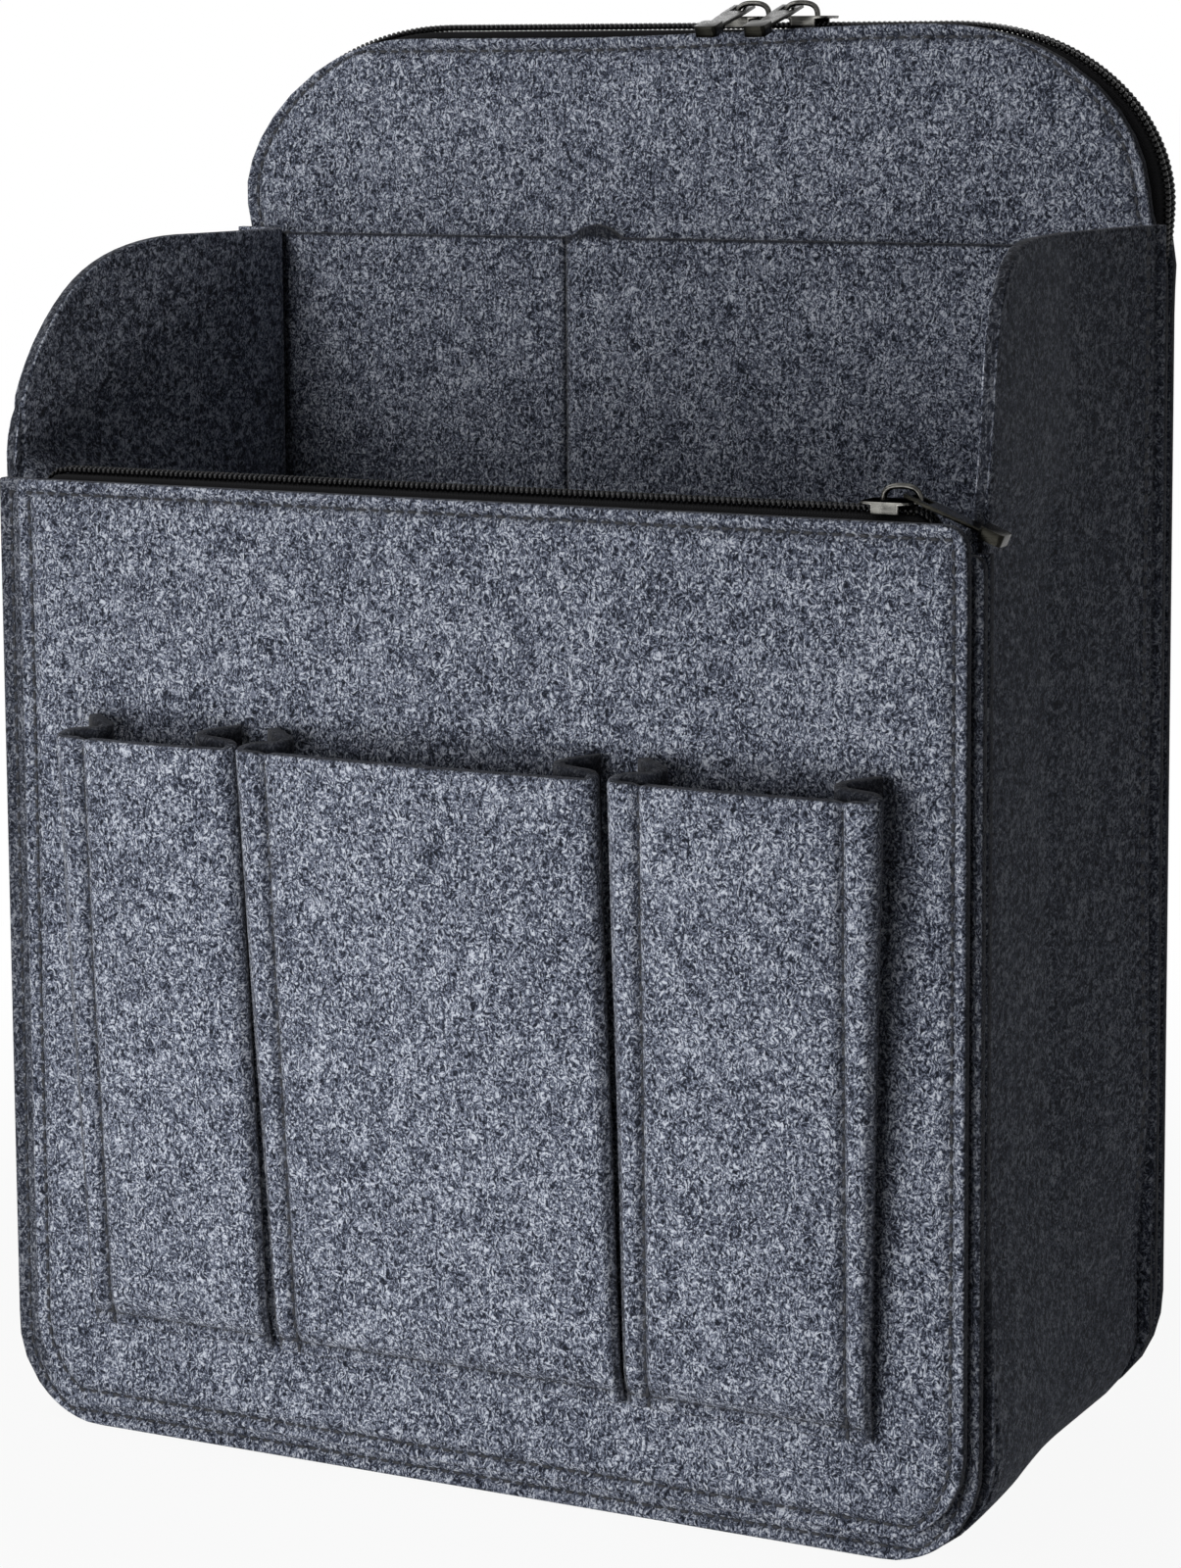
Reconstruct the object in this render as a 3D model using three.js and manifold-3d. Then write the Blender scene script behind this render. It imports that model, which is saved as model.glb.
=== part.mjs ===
// Felt organizer insert for a backpack: an open felt box with a low front, curved side walls and a
// tall arched back. The front carries a flat zipped pocket with three open pockets sewn on it, and a
// second zip runs round the arch of a flat compartment behind the back wall.
// Millimetres, +Z up, front towards -Y. Each felt layer is one solid, sewn layers keep a small gap.
import * as THREE from 'three';
import { mergeVertices } from 'three/addons/utils/BufferGeometryUtils.js';
import Module from 'manifold-3d';

const wasm = await Module();
wasm.setup();

// Felt body
const FELT = 3;
const SEAM_GAP = 0.3;
const BODY_WIDTH = 240;
const GUSSET_DEPTH = 104;
const FLANGE = 6;
const CORNER_RADIUS = 22;
const FRONT_HEIGHT = 220.2;
const FRONT_WALL_DROP = 6.5;
const SIDE_HEIGHT = 273;
const SIDE_SETBACK = 5.5;
const SIDE_CURVE_DEPTH = 47.5;
const SIDE_CURVE_POWER = 2.8;
const BACK_HEIGHT = 319;
const ARCH_INSET = 4;
const ARCH_CORNER_WIDTH = 52;
const ARCH_CORNER_HEIGHT = 39;
const INNER_POCKET_DROP = 2;

// Zipped front panel and the open pockets on it
const PANEL_INSET_LEFT = 8;
const PANEL_INSET_RIGHT = 3;
const PANEL_INSET_BOTTOM = 6.5;
const PANEL_CORNER_RADIUS = 19;
const PANEL_TOP_RADIUS = 8;
const POCKET_HEIGHT = 137;
const POCKET_LIFT = 21;
const POCKET_MOUTH = 13;
const POCKET_FOOT = 5;
const POCKET_INSET_LEFT = 18;
const POCKET_INSET_RIGHT = 14.6;
const LEFT_POCKET_WIDTH = 46;
const RIGHT_POCKET_WIDTH = 59.4;
const PLEAT_GAP = 2;

// Zip chains: two tapes folded down over the felt edges, a coil half on each, a slit between them
const TAPE = 0.6;
const TAPE_LEG = 12;
const TAPE_FLAT = 3.5;
const ZIP_RISE = 0.4;
const CHAIN_SLIT = 1.4;
const COIL_WIDTH = 1.8;
const COIL_HEIGHT = 1.7;
const COIL_CHAMFER = 0.5;
const FRONT_ZIP_INSET = 14.5;
const BACK_ZIP_TAIL = 14;
const BACK_LEAN_HEIGHT = 38;

// Sliders and pulls
const RUN_CLEARANCE = 0.3;
const PLATE = 0.7;
const PLATE_HALF_WIDTH = 4.5;
const PLATE_CORNER = 1.5;
const SLIDER_TAIL = 8;
const SLIDER_NOSE = 3.1;
const TONGUE_HALF_WIDTH = 1.1;
const WEB_LENGTH = 2.8;
const CHEEK = 0.8;
const CHEEK_LENGTH = 6.2;
const CHEEK_HEIGHT = 2;
const CHEEK_TAIL_INSET = 2.7;
const BRIDGE_WIRE = 1.3;
const BRIDGE_HALF_LENGTH = 4.75;
const BRIDGE_HEIGHT = 3.7;
const BRIDGE_LEG_TILT = THREE.MathUtils.degToRad(25);
const PULL_LENGTH = 20.5;
const PULL_THICKNESS = 0.8;
const PULL_ARM = 1.2;
const PULL_HALF_WAIST = 2;
const EYE_HALF_WIDTH = 1.5;
const EYE_BACK = 1.3;
const EYE_FRONT = 3;
const GRIP_LENGTH = 5.5;
const GRIP_THICKNESS = 2.6;
const GRIP_ROUND = 1;
const FRONT_SLIDER_FROM_END = 4.45;
const FRONT_PULL_DROOP = THREE.MathUtils.degToRad(22);
const FRONT_HINGE_OFFSET = 1.9;
const FRONT_HINGE_HEIGHT = 1.2;
const BACK_LEFT_SLIDER_X = 15.8;
const BACK_SLIDER_SPACING = 12.4;
const BACK_PIVOT_HEIGHT = 1.7;
const BACK_PULL_DROOP = THREE.MathUtils.degToRad(15);

// Facets of the round stretches
const CORNER_STEPS = 8;
const ARCH_STEPS = 12;

// Heights and half widths that follow from the sizes above
const bodyHalf = BODY_WIDTH / 2;
const wallHalf = bodyHalf - FLANGE;
const innerHalf = wallHalf - FELT;
const frontWallTop = FRONT_HEIGHT - FRONT_WALL_DROP;
const archHalf = bodyHalf - ARCH_INSET;
const archFlatHalf = archHalf - ARCH_CORNER_WIDTH;
const archSpring = BACK_HEIGHT - ARCH_CORNER_HEIGHT;
const backZipFoot = archSpring - BACK_ZIP_TAIL;
const frontZipHalf = bodyHalf - FRONT_ZIP_INSET;

// Layers from front to back along Y, starting at the front face of the front wall
const sewnTape = TAPE / 2 + SEAM_GAP;
const zipPocketGap = 2 * sewnTape;
const panelBack = -zipPocketGap;
const panelFront = panelBack - FELT;
const pocketBack = panelFront - SEAM_GAP;
const gussetFront = FELT + SEAM_GAP;
const gussetBack = gussetFront + GUSSET_DEPTH;
const backWallFront = gussetBack + SEAM_GAP;
const backWallBack = backWallFront + FELT;
const frontZipY = panelBack + sewnTape + TAPE_FLAT;
const backZipY = backWallBack + sewnTape + TAPE_FLAT;
const outerPanelLow = backWallBack + zipPocketGap;
const outerPanelHigh = backZipY + TAPE_FLAT + sewnTape;

// Levels of the zip parts above the felt edge that the zip runs along
const tapeTop = ZIP_RISE + TAPE / 2;
const coilBottom = tapeTop + SEAM_GAP;
const coilTop = coilBottom + COIL_HEIGHT;
const topPlateBottom = coilTop + RUN_CLEARANCE;
const topPlateTop = topPlateBottom + PLATE;
const bottomPlateTop = ZIP_RISE - TAPE / 2 - RUN_CLEARANCE;
const bottomPlateBottom = bottomPlateTop - PLATE;
const bottomPlateHalfWidth = TAPE_FLAT - TAPE / 2 - RUN_CLEARANCE;
const webHalf = CHAIN_SLIT / 2 - SEAM_GAP;

// Materials
const feltMaterial = new THREE.MeshStandardMaterial({ color: 0x535968, roughness: 0.95, metalness: 0 });
const tapeMaterial = new THREE.MeshStandardMaterial({ color: 0x0c0d10, roughness: 0.85, metalness: 0 });
const coilMaterial = new THREE.MeshStandardMaterial({ color: 0x121317, roughness: 0.45, metalness: 0 });
const metalMaterial = new THREE.MeshStandardMaterial({ color: 0x4a4a47, roughness: 0.3, metalness: 1 });

const organizer = new THREE.Group();

// A closed geometry as a solid that can be joined and cut
function solidOf(geometry) {
  const bare = geometry.clone();
  bare.deleteAttribute('normal');
  bare.deleteAttribute('uv');
  const merged = mergeVertices(bare, 1e-4);
  const vertProperties = new Float32Array(merged.attributes.position.array);
  const triVerts = new Uint32Array(merged.index.array);
  return new wasm.Manifold(new wasm.Mesh({ numProp: 3, vertProperties, triVerts }));
}

function geometryOf(solid) {
  const { vertProperties, triVerts } = solid.getMesh();
  const geometry = new THREE.BufferGeometry();
  geometry.setAttribute('position', new THREE.BufferAttribute(new Float32Array(vertProperties), 3));
  geometry.setIndex(new THREE.BufferAttribute(new Uint32Array(triVerts), 1));
  geometry.computeVertexNormals();
  return geometry;
}

const joined = (first, ...others) => others.reduce((whole, part) => whole.add(part), first);

function addMesh(name, geometry, material, parent = organizer) {
  const mesh = new THREE.Mesh(geometry, material);
  mesh.name = name;
  parent.add(mesh);
  return mesh;
}

// An outline drawn in X and Z, extruded along Y from front to back
function panelAcross(outline, front, back, steps = CORNER_STEPS) {
  const depth = back - front;
  const geometry = new THREE.ExtrudeGeometry(outline, { depth, bevelEnabled: false, curveSegments: steps });
  return geometry.rotateX(Math.PI / 2).translate(0, back, 0);
}

// An outline drawn in Y and Z, extruded along X from left to right
function panelAlong(outline, left, right) {
  const depth = right - left;
  const geometry = new THREE.ExtrudeGeometry(outline, { depth, bevelEnabled: false });
  const axes = [new THREE.Vector3(0, 1, 0), new THREE.Vector3(0, 0, 1), new THREE.Vector3(1, 0, 0)];
  return geometry.applyMatrix4(new THREE.Matrix4().makeBasis(...axes)).translate(left, 0, 0);
}

// An outline drawn in X and Y, extruded upwards
function plate(outline, bottom, top) {
  const options = { depth: top - bottom, bevelEnabled: false, curveSegments: CORNER_STEPS / 2 };
  return new THREE.ExtrudeGeometry(outline, options).translate(0, 0, bottom);
}

function block(minX, maxX, minY, maxY, minZ, maxZ) {
  const geometry = new THREE.BoxGeometry(maxX - minX, maxY - minY, maxZ - minZ);
  return geometry.translate((minX + maxX) / 2, (minY + maxY) / 2, (minZ + maxZ) / 2);
}

const shapeOf = (points) => new THREE.Shape(points.map(([x, y]) => new THREE.Vector2(x, y)));

// A strip of one thickness along a polyline, as a closed outline that runs anticlockwise
function ribbon(points, thickness) {
  const normals = points.slice(1).map(([x, y], i) => {
    const [dx, dy] = [x - points[i][0], y - points[i][1]];
    const length = Math.hypot(dx, dy);
    return [-dy / length, dx / length];
  });
  const offsets = points.map((point, i) => {
    const before = normals[Math.max(i - 1, 0)];
    const after = normals[Math.min(i, normals.length - 1)];
    const sum = [before[0] + after[0], before[1] + after[1]];
    const reach = thickness / (sum[0] * sum[0] + sum[1] * sum[1]);
    return [sum[0] * reach, sum[1] * reach];
  });
  const leftSide = points.map(([x, y], i) => [x + offsets[i][0], y + offsets[i][1]]);
  const rightSide = points.map(([x, y], i) => [x - offsets[i][0], y - offsets[i][1]]);
  const outline = [...rightSide, ...leftSide.reverse()];
  const clockwise = THREE.ShapeUtils.isClockWise(outline.map(([x, y]) => new THREE.Vector2(x, y)));
  return clockwise ? outline.reverse() : outline;
}

// A section swept along stations in X and Z; the section's points are Y and the distance off the path
function sweep(section, stations) {
  const ring = section.length;
  const corners = stations.flatMap(({ x, z, outX, outZ }) =>
    section.map(([y, off]) => [x + off * outX, y, z + off * outZ]));
  const faces = THREE.ShapeUtils.triangulateShape(section.map(([y, off]) => new THREE.Vector2(y, off)), []);
  const last = (stations.length - 1) * ring;
  const index = faces.flatMap(([a, b, c]) => [a, c, b, last + a, last + b, last + c]);
  for (let station = 0; station < stations.length - 1; station += 1) {
    for (let i = 0; i < ring; i += 1) {
      const a = station * ring + i;
      const b = station * ring + ((i + 1) % ring);
      index.push(a, b, b + ring, a, b + ring, a + ring);
    }
  }
  const geometry = new THREE.BufferGeometry();
  geometry.setAttribute('position', new THREE.Float32BufferAttribute(corners.flat(), 3));
  geometry.setIndex(index);
  geometry.computeVertexNormals();
  return geometry;
}

// Panel outline with rounded bottom corners and, where wanted, rounded top corners
function panelOutline(left, right, bottom, top, radius, topRadius = 0) {
  const outline = new THREE.Shape();
  outline.moveTo(left, top - topRadius);
  outline.lineTo(left, bottom + radius);
  outline.absarc(left + radius, bottom + radius, radius, Math.PI, 1.5 * Math.PI, false);
  outline.lineTo(right - radius, bottom);
  outline.absarc(right - radius, bottom + radius, radius, 1.5 * Math.PI, 2 * Math.PI, false);
  outline.lineTo(right, top - topRadius);
  if (topRadius > 0) {
    outline.absarc(right - topRadius, top - topRadius, topRadius, 0, Math.PI / 2, false);
    outline.absarc(left + topRadius, top - topRadius, topRadius, Math.PI / 2, Math.PI, false);
  }
  return outline;
}

// Gusset: side walls and base in one strip, its edges turned outwards into the sewn flanges
function gusset() {
  const wall = panelOutline(-wallHalf, wallHalf, FLANGE, SIDE_HEIGHT, CORNER_RADIUS - FLANGE);
  const frontFlange = panelOutline(-bodyHalf, bodyHalf, 0, frontWallTop, CORNER_RADIUS);
  const backFlange = panelOutline(-bodyHalf, bodyHalf, 0, SIDE_HEIGHT, CORNER_RADIUS);
  const innerBottom = FLANGE + FELT;
  const innerRadius = CORNER_RADIUS - innerBottom;
  const inside = panelOutline(-innerHalf, innerHalf, innerBottom, SIDE_HEIGHT + FELT, innerRadius);

  const curveStart = gussetFront + SIDE_SETBACK;
  const curveEnd = curveStart + SIDE_CURVE_DEPTH;
  const freeEdge = new THREE.Shape();
  freeEdge.moveTo(gussetFront - FELT, frontWallTop);
  const curveHeight = SIDE_HEIGHT - frontWallTop;
  for (let step = 0; step <= ARCH_STEPS; step += 1) {
    const angle = (step / ARCH_STEPS) * (Math.PI / 2);
    const run = SIDE_CURVE_DEPTH * Math.cos(angle) ** (2 / SIDE_CURVE_POWER);
    const rise = curveHeight * Math.sin(angle) ** (2 / SIDE_CURVE_POWER);
    freeEdge.lineTo(curveEnd - run, frontWallTop + rise);
  }
  freeEdge.lineTo(curveEnd, SIDE_HEIGHT + FELT);
  freeEdge.lineTo(gussetFront - FELT, SIDE_HEIGHT + FELT);

  const strip = joined(
    solidOf(panelAcross(wall, gussetFront, gussetBack)),
    solidOf(panelAcross(frontFlange, gussetFront, gussetFront + FELT)),
    solidOf(panelAcross(backFlange, gussetBack - FELT, gussetBack)),
  );
  const hollow = solidOf(panelAcross(inside, gussetFront - FELT, gussetBack + FELT));
  const openFront = solidOf(panelAlong(freeEdge, -BODY_WIDTH, BODY_WIDTH));
  return geometryOf(strip.subtract(hollow).subtract(openFront));
}

// Back panel outline: full width between the flanges, then drawn in to the arch
function backOutline() {
  const outline = panelOutline(-bodyHalf, bodyHalf, 0, backZipFoot, CORNER_RADIUS);
  outline.lineTo(archHalf, archSpring);
  outline.absellipse(archFlatHalf, archSpring, ARCH_CORNER_WIDTH, ARCH_CORNER_HEIGHT, 0, Math.PI / 2, false, 0);
  outline.absellipse(
    -archFlatHalf, archSpring, ARCH_CORNER_WIDTH, ARCH_CORNER_HEIGHT, Math.PI / 2, Math.PI, false, 0,
  );
  return outline;
}

// Outer back panel: flat on the back wall below, leaning back to the width of the zip above
function outerBackPanel() {
  const middleLow = outerPanelLow + FELT / 2;
  const middleHigh = outerPanelHigh + FELT / 2;
  const leanTop = backZipFoot - SEAM_GAP;
  const bend = ribbon([
    [middleLow, -FELT],
    [middleLow, leanTop - BACK_LEAN_HEIGHT],
    [middleHigh, leanTop],
    [middleHigh, BACK_HEIGHT + FELT],
  ], FELT);
  const sheet = solidOf(panelAlong(shapeOf(bend), -BODY_WIDTH, BODY_WIDTH));
  const outline = solidOf(panelAcross(backOutline(), outerPanelLow - FELT, outerPanelHigh + 2 * FELT, ARCH_STEPS));
  return geometryOf(sheet.intersect(outline));
}

// Open pocket: a felt front that leans out to its mouth, with pleated sides and a closed foot
function openPocket(left, right, bottom) {
  const top = bottom + POCKET_HEIGHT;
  const outside = shapeOf([
    [pocketBack, bottom],
    [pocketBack, top],
    [pocketBack - POCKET_MOUTH, top],
    [pocketBack - POCKET_FOOT, bottom],
  ]);
  const slope = (POCKET_MOUTH - POCKET_FOOT) / POCKET_HEIGHT;
  const inFoot = POCKET_FOOT - FELT + slope * FELT;
  const inMouth = POCKET_MOUTH - FELT + slope * FELT;
  const inside = shapeOf([
    [pocketBack + FELT, bottom + FELT],
    [pocketBack + FELT, top + FELT],
    [pocketBack - inMouth, top + FELT],
    [pocketBack - inFoot, bottom + FELT],
  ]);
  const shell = solidOf(panelAlong(outside, left, right));
  return geometryOf(shell.subtract(solidOf(panelAlong(inside, left + FELT, right - FELT))));
}

// Path of the back zip: up the left side of the arch, over the flat top and down the right side
function archStations() {
  const stations = [{ x: -archHalf, z: backZipFoot, outX: -1, outZ: 0 }];
  for (const side of [-1, 1]) {
    for (let step = 0; step <= ARCH_STEPS; step += 1) {
      const share = side < 0 ? step / ARCH_STEPS : 1 - step / ARCH_STEPS;
      const angle = (share * Math.PI) / 2;
      const normal = [Math.cos(angle) / ARCH_CORNER_WIDTH, Math.sin(angle) / ARCH_CORNER_HEIGHT];
      const length = Math.hypot(...normal);
      stations.push({
        x: side * (archFlatHalf + ARCH_CORNER_WIDTH * Math.cos(angle)),
        z: archSpring + ARCH_CORNER_HEIGHT * Math.sin(angle),
        outX: (side * normal[0]) / length,
        outZ: normal[1] / length,
      });
    }
  }
  stations.push({ x: archHalf, z: backZipFoot, outX: 1, outZ: 0 });
  return stations;
}

// Zip chain: a tape and a coil half in front of the slit and the same behind it
function addZip(name, stations, middle, rearLeg) {
  const slitEdge = CHAIN_SLIT / 2;
  const frontTape = [[-slitEdge, ZIP_RISE], [-TAPE_FLAT, ZIP_RISE], [-TAPE_FLAT, -TAPE_LEG]];
  const rearTape = [[slitEdge, ZIP_RISE], [TAPE_FLAT, ZIP_RISE], ...rearLeg];
  const coilEnd = slitEdge + COIL_WIDTH;
  const coil = [
    [slitEdge, coilBottom],
    [coilEnd, coilBottom],
    [coilEnd, coilTop - COIL_CHAMFER],
    [coilEnd - COIL_CHAMFER, coilTop],
    [slitEdge, coilTop],
  ];
  const frontCoil = coil.map(([y, off]) => [-y, off]).reverse();
  const placed = (section) => sweep(section, stations).translate(0, middle, 0);
  addMesh(`${name}_zip_tape_front`, placed(ribbon(frontTape, TAPE)), tapeMaterial);
  addMesh(`${name}_zip_tape_rear`, placed(ribbon(rearTape, TAPE)), tapeMaterial);
  addMesh(`${name}_zip_coil_front`, placed(frontCoil), coilMaterial);
  addMesh(`${name}_zip_coil_rear`, placed(coil), coilMaterial);
}

// Slider with its nose towards +X: plates above and below the chain, the web in the slit between the
// coil halves, cheeks over the coil's sides, and a bridge of bent wire for the pull
function slider() {
  const nose = SLIDER_NOSE;
  const tail = -SLIDER_TAIL;
  const topOutline = panelOutline(tail, nose, -PLATE_HALF_WIDTH, PLATE_HALF_WIDTH, PLATE_CORNER, PLATE_CORNER);
  const half = bottomPlateHalfWidth;
  const bottomOutline = panelOutline(tail, nose, -half, half, PLATE_CORNER, PLATE_CORNER);
  const legRun = Math.tan(BRIDGE_LEG_TILT);
  const wireRun = BRIDGE_WIRE / Math.cos(BRIDGE_LEG_TILT);
  const crown = topPlateTop + BRIDGE_HEIGHT;
  const feet = topPlateTop - PLATE / 2;
  const bridgeHalf = (level) => BRIDGE_HALF_LENGTH - (level - topPlateTop) * legRun;
  const outer = (level) => [bridgeHalf(level), level];
  const inner = (level) => [bridgeHalf(level) - wireRun, level];
  const mirrored = ([x, z]) => [-x, z];
  const under = crown - BRIDGE_WIRE;
  const bridge = shapeOf([
    outer(feet), outer(crown), mirrored(outer(crown)), mirrored(outer(feet)),
    mirrored(inner(feet)), mirrored(inner(under)), inner(under), inner(feet),
  ]);
  const cheekStart = tail + CHEEK_TAIL_INSET;
  const cheekBottom = topPlateBottom - CHEEK_HEIGHT;
  const cheek = (side) => {
    const faces = [side * (PLATE_HALF_WIDTH - CHEEK), side * PLATE_HALF_WIDTH].sort((a, b) => a - b);
    return solidOf(block(cheekStart, cheekStart + CHEEK_LENGTH, ...faces, cheekBottom, topPlateTop - PLATE / 2));
  };
  const tongueEnd = bridgeHalf(feet);
  const tongueHalf = TONGUE_HALF_WIDTH;
  const body = joined(
    solidOf(plate(topOutline, topPlateBottom, topPlateTop)),
    solidOf(plate(bottomOutline, bottomPlateBottom, bottomPlateTop)),
    solidOf(block(nose - WEB_LENGTH, nose, -webHalf, webHalf, bottomPlateBottom, topPlateTop)),
    solidOf(block(nose - PLATE, tongueEnd, -tongueHalf, tongueHalf, topPlateBottom, topPlateTop)),
    solidOf(panelAcross(bridge, -BRIDGE_WIRE / 2, BRIDGE_WIRE / 2)),
    cheek(-1),
    cheek(1),
  );
  return geometryOf(body);
}

// Pull along +X, with the middle of the wire that its eye holds at the origin
function pull() {
  const half = EYE_HALF_WIDTH + PULL_ARM;
  const root = -EYE_BACK - PULL_ARM;
  const shoulder = EYE_FRONT + PULL_ARM;
  const gripStart = PULL_LENGTH - GRIP_LENGTH;
  const outline = shapeOf([
    [root, -half], [shoulder, -half], [gripStart, -PULL_HALF_WAIST], [PULL_LENGTH - GRIP_ROUND, -half],
    [PULL_LENGTH - GRIP_ROUND, half], [gripStart, PULL_HALF_WAIST], [shoulder, half], [root, half],
  ]);
  const eye = block(-EYE_BACK, EYE_FRONT, -EYE_HALF_WIDTH, EYE_HALF_WIDTH, -PULL_THICKNESS, PULL_THICKNESS);
  const gripHalf = GRIP_THICKNESS / 2;
  const gripOutline = panelOutline(gripStart, PULL_LENGTH, -half, half, GRIP_ROUND, GRIP_ROUND);
  const body = solidOf(plate(outline, -PULL_THICKNESS / 2, PULL_THICKNESS / 2))
    .subtract(solidOf(eye))
    .add(solidOf(plate(gripOutline, -gripHalf, gripHalf)));
  return geometryOf(body);
}

// Felt layers
addMesh('gusset', gusset(), feltMaterial);
const frontWall = panelOutline(-bodyHalf, bodyHalf, 0, frontWallTop, CORNER_RADIUS);
addMesh('front_wall', panelAcross(frontWall, 0, FELT), feltMaterial);
const panelLeft = -bodyHalf + PANEL_INSET_LEFT;
const panelRight = bodyHalf - PANEL_INSET_RIGHT;
const panelBottom = PANEL_INSET_BOTTOM;
const frontPanel = panelOutline(
  panelLeft, panelRight, panelBottom, FRONT_HEIGHT, PANEL_CORNER_RADIUS, PANEL_TOP_RADIUS,
);
addMesh('front_zip_panel', panelAcross(frontPanel, panelFront, panelBack), feltMaterial);
addMesh('back_wall', panelAcross(backOutline(), backWallFront, backWallBack, ARCH_STEPS), feltMaterial);
addMesh('back_outer_panel', outerBackPanel(), feltMaterial);

const innerPocketBack = backWallFront - SEAM_GAP;
const innerPocketHalf = innerHalf - SEAM_GAP;
const innerPocket = panelOutline(
  -innerPocketHalf, innerPocketHalf, FLANGE + FELT + SEAM_GAP, SIDE_HEIGHT - INNER_POCKET_DROP,
  CORNER_RADIUS - FLANGE - FELT,
);
addMesh('inner_pocket_panel', panelAcross(innerPocket, innerPocketBack - FELT, innerPocketBack), feltMaterial);

// Open pockets, left and right of fixed widths, the middle one filling what is left between the pleats
const pocketBottom = panelBottom + POCKET_LIFT;
const pocketsLeft = panelLeft + POCKET_INSET_LEFT;
const pocketsRight = panelRight - POCKET_INSET_RIGHT;
const leftPocketEnd = pocketsLeft + LEFT_POCKET_WIDTH;
const rightPocketStart = pocketsRight - RIGHT_POCKET_WIDTH;
const pocketSpans = {
  pocket_left: [pocketsLeft, leftPocketEnd],
  pocket_middle: [leftPocketEnd + PLEAT_GAP, rightPocketStart - PLEAT_GAP],
  pocket_right: [rightPocketStart, pocketsRight],
};
for (const [name, [left, right]] of Object.entries(pocketSpans)) {
  addMesh(name, openPocket(left, right, pocketBottom), feltMaterial);
}

// Zips
const straight = [-frontZipHalf, frontZipHalf].map((x) => ({ x, z: FRONT_HEIGHT, outX: 0, outZ: 1 }));
const foldBack = gussetFront + TAPE / 2 - frontZipY;
const frontRearLeg = [
  [TAPE_FLAT, bottomPlateBottom - RUN_CLEARANCE],
  [foldBack, -2 * FRONT_WALL_DROP],
  [foldBack, -FRONT_WALL_DROP - TAPE_LEG],
];
addZip('front', straight, frontZipY, frontRearLeg);
addZip('back', archStations(), backZipY, [[TAPE_FLAT, -TAPE_LEG]]);

// Front slider at the right end of its zip, its pull hanging down past the end of the chain
const frontSlider = new THREE.Group();
frontSlider.position.set(frontZipHalf - FRONT_SLIDER_FROM_END, frontZipY, FRONT_HEIGHT);
organizer.add(frontSlider);
addMesh('front_slider', slider(), metalMaterial, frontSlider);
const frontHinge = new THREE.Group();
frontHinge.position.set(FRONT_HINGE_OFFSET, 0, topPlateTop + FRONT_HINGE_HEIGHT);
frontHinge.rotation.y = FRONT_PULL_DROOP;
frontSlider.add(frontHinge);
const frontPull = addMesh('front_pull', pull(), metalMaterial, frontHinge);
frontPull.position.x = EYE_BACK + PULL_ARM / 2;

// Two back sliders nose to nose on the arch's flat top, each pull lying forwards from the left leg
const backSliders = {
  left: { x: BACK_LEFT_SLIDER_X, turn: 0 },
  right: { x: BACK_LEFT_SLIDER_X + BACK_SLIDER_SPACING, turn: Math.PI },
};
const legMiddle = BRIDGE_HALF_LENGTH - BRIDGE_WIRE / Math.cos(BRIDGE_LEG_TILT) / 2;
const backPivotOffset = legMiddle - BACK_PIVOT_HEIGHT * Math.tan(BRIDGE_LEG_TILT);
for (const [side, { x, turn }] of Object.entries(backSliders)) {
  const backSlider = new THREE.Group();
  backSlider.position.set(x, backZipY, BACK_HEIGHT);
  organizer.add(backSlider);
  const body = addMesh(`back_${side}_slider`, slider(), metalMaterial, backSlider);
  body.rotation.z = turn;
  const backPull = addMesh(`back_${side}_pull`, pull(), metalMaterial, backSlider);
  backPull.position.set(-backPivotOffset, 0, topPlateTop + BACK_PIVOT_HEIGHT);
  backPull.rotation.set(BACK_PULL_DROOP, 0, -Math.PI / 2);
}

// Origin at the middle of the bounding box's bottom face
const box = new THREE.Box3().setFromObject(organizer, true);
organizer.position.set(-(box.min.x + box.max.x) / 2, -(box.min.y + box.max.y) / 2, -box.min.z);

export default organizer;
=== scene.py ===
import math
from types import SimpleNamespace

import bpy
import numpy as np
from mathutils import Matrix, Vector, noise


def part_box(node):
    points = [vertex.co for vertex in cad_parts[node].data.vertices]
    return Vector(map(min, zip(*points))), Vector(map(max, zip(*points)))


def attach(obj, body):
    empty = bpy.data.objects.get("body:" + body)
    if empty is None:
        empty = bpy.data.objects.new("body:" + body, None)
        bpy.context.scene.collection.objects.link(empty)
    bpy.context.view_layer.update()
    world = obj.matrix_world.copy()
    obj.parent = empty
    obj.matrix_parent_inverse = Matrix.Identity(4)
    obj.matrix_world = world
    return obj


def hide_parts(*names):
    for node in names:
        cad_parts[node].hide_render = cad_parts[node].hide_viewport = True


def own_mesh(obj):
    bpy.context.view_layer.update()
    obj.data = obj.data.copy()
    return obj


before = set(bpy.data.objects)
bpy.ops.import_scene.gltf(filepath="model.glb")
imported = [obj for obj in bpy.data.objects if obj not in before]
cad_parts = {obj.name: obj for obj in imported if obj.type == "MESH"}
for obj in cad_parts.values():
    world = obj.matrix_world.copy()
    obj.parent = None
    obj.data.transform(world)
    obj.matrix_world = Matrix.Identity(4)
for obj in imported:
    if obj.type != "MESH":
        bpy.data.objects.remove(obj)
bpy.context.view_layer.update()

# Layout in millimetres: x from the body's centre line, y from the front wall's face, z from the floor
MM = 0.001
wall_low, wall_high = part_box("front_wall")
CENTRE_X = (wall_low.x + wall_high.x) / 2
FRONT_Y = wall_low.y
LAYOUT_CORNER = np.array((CENTRE_X, FRONT_Y, 0))


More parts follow.
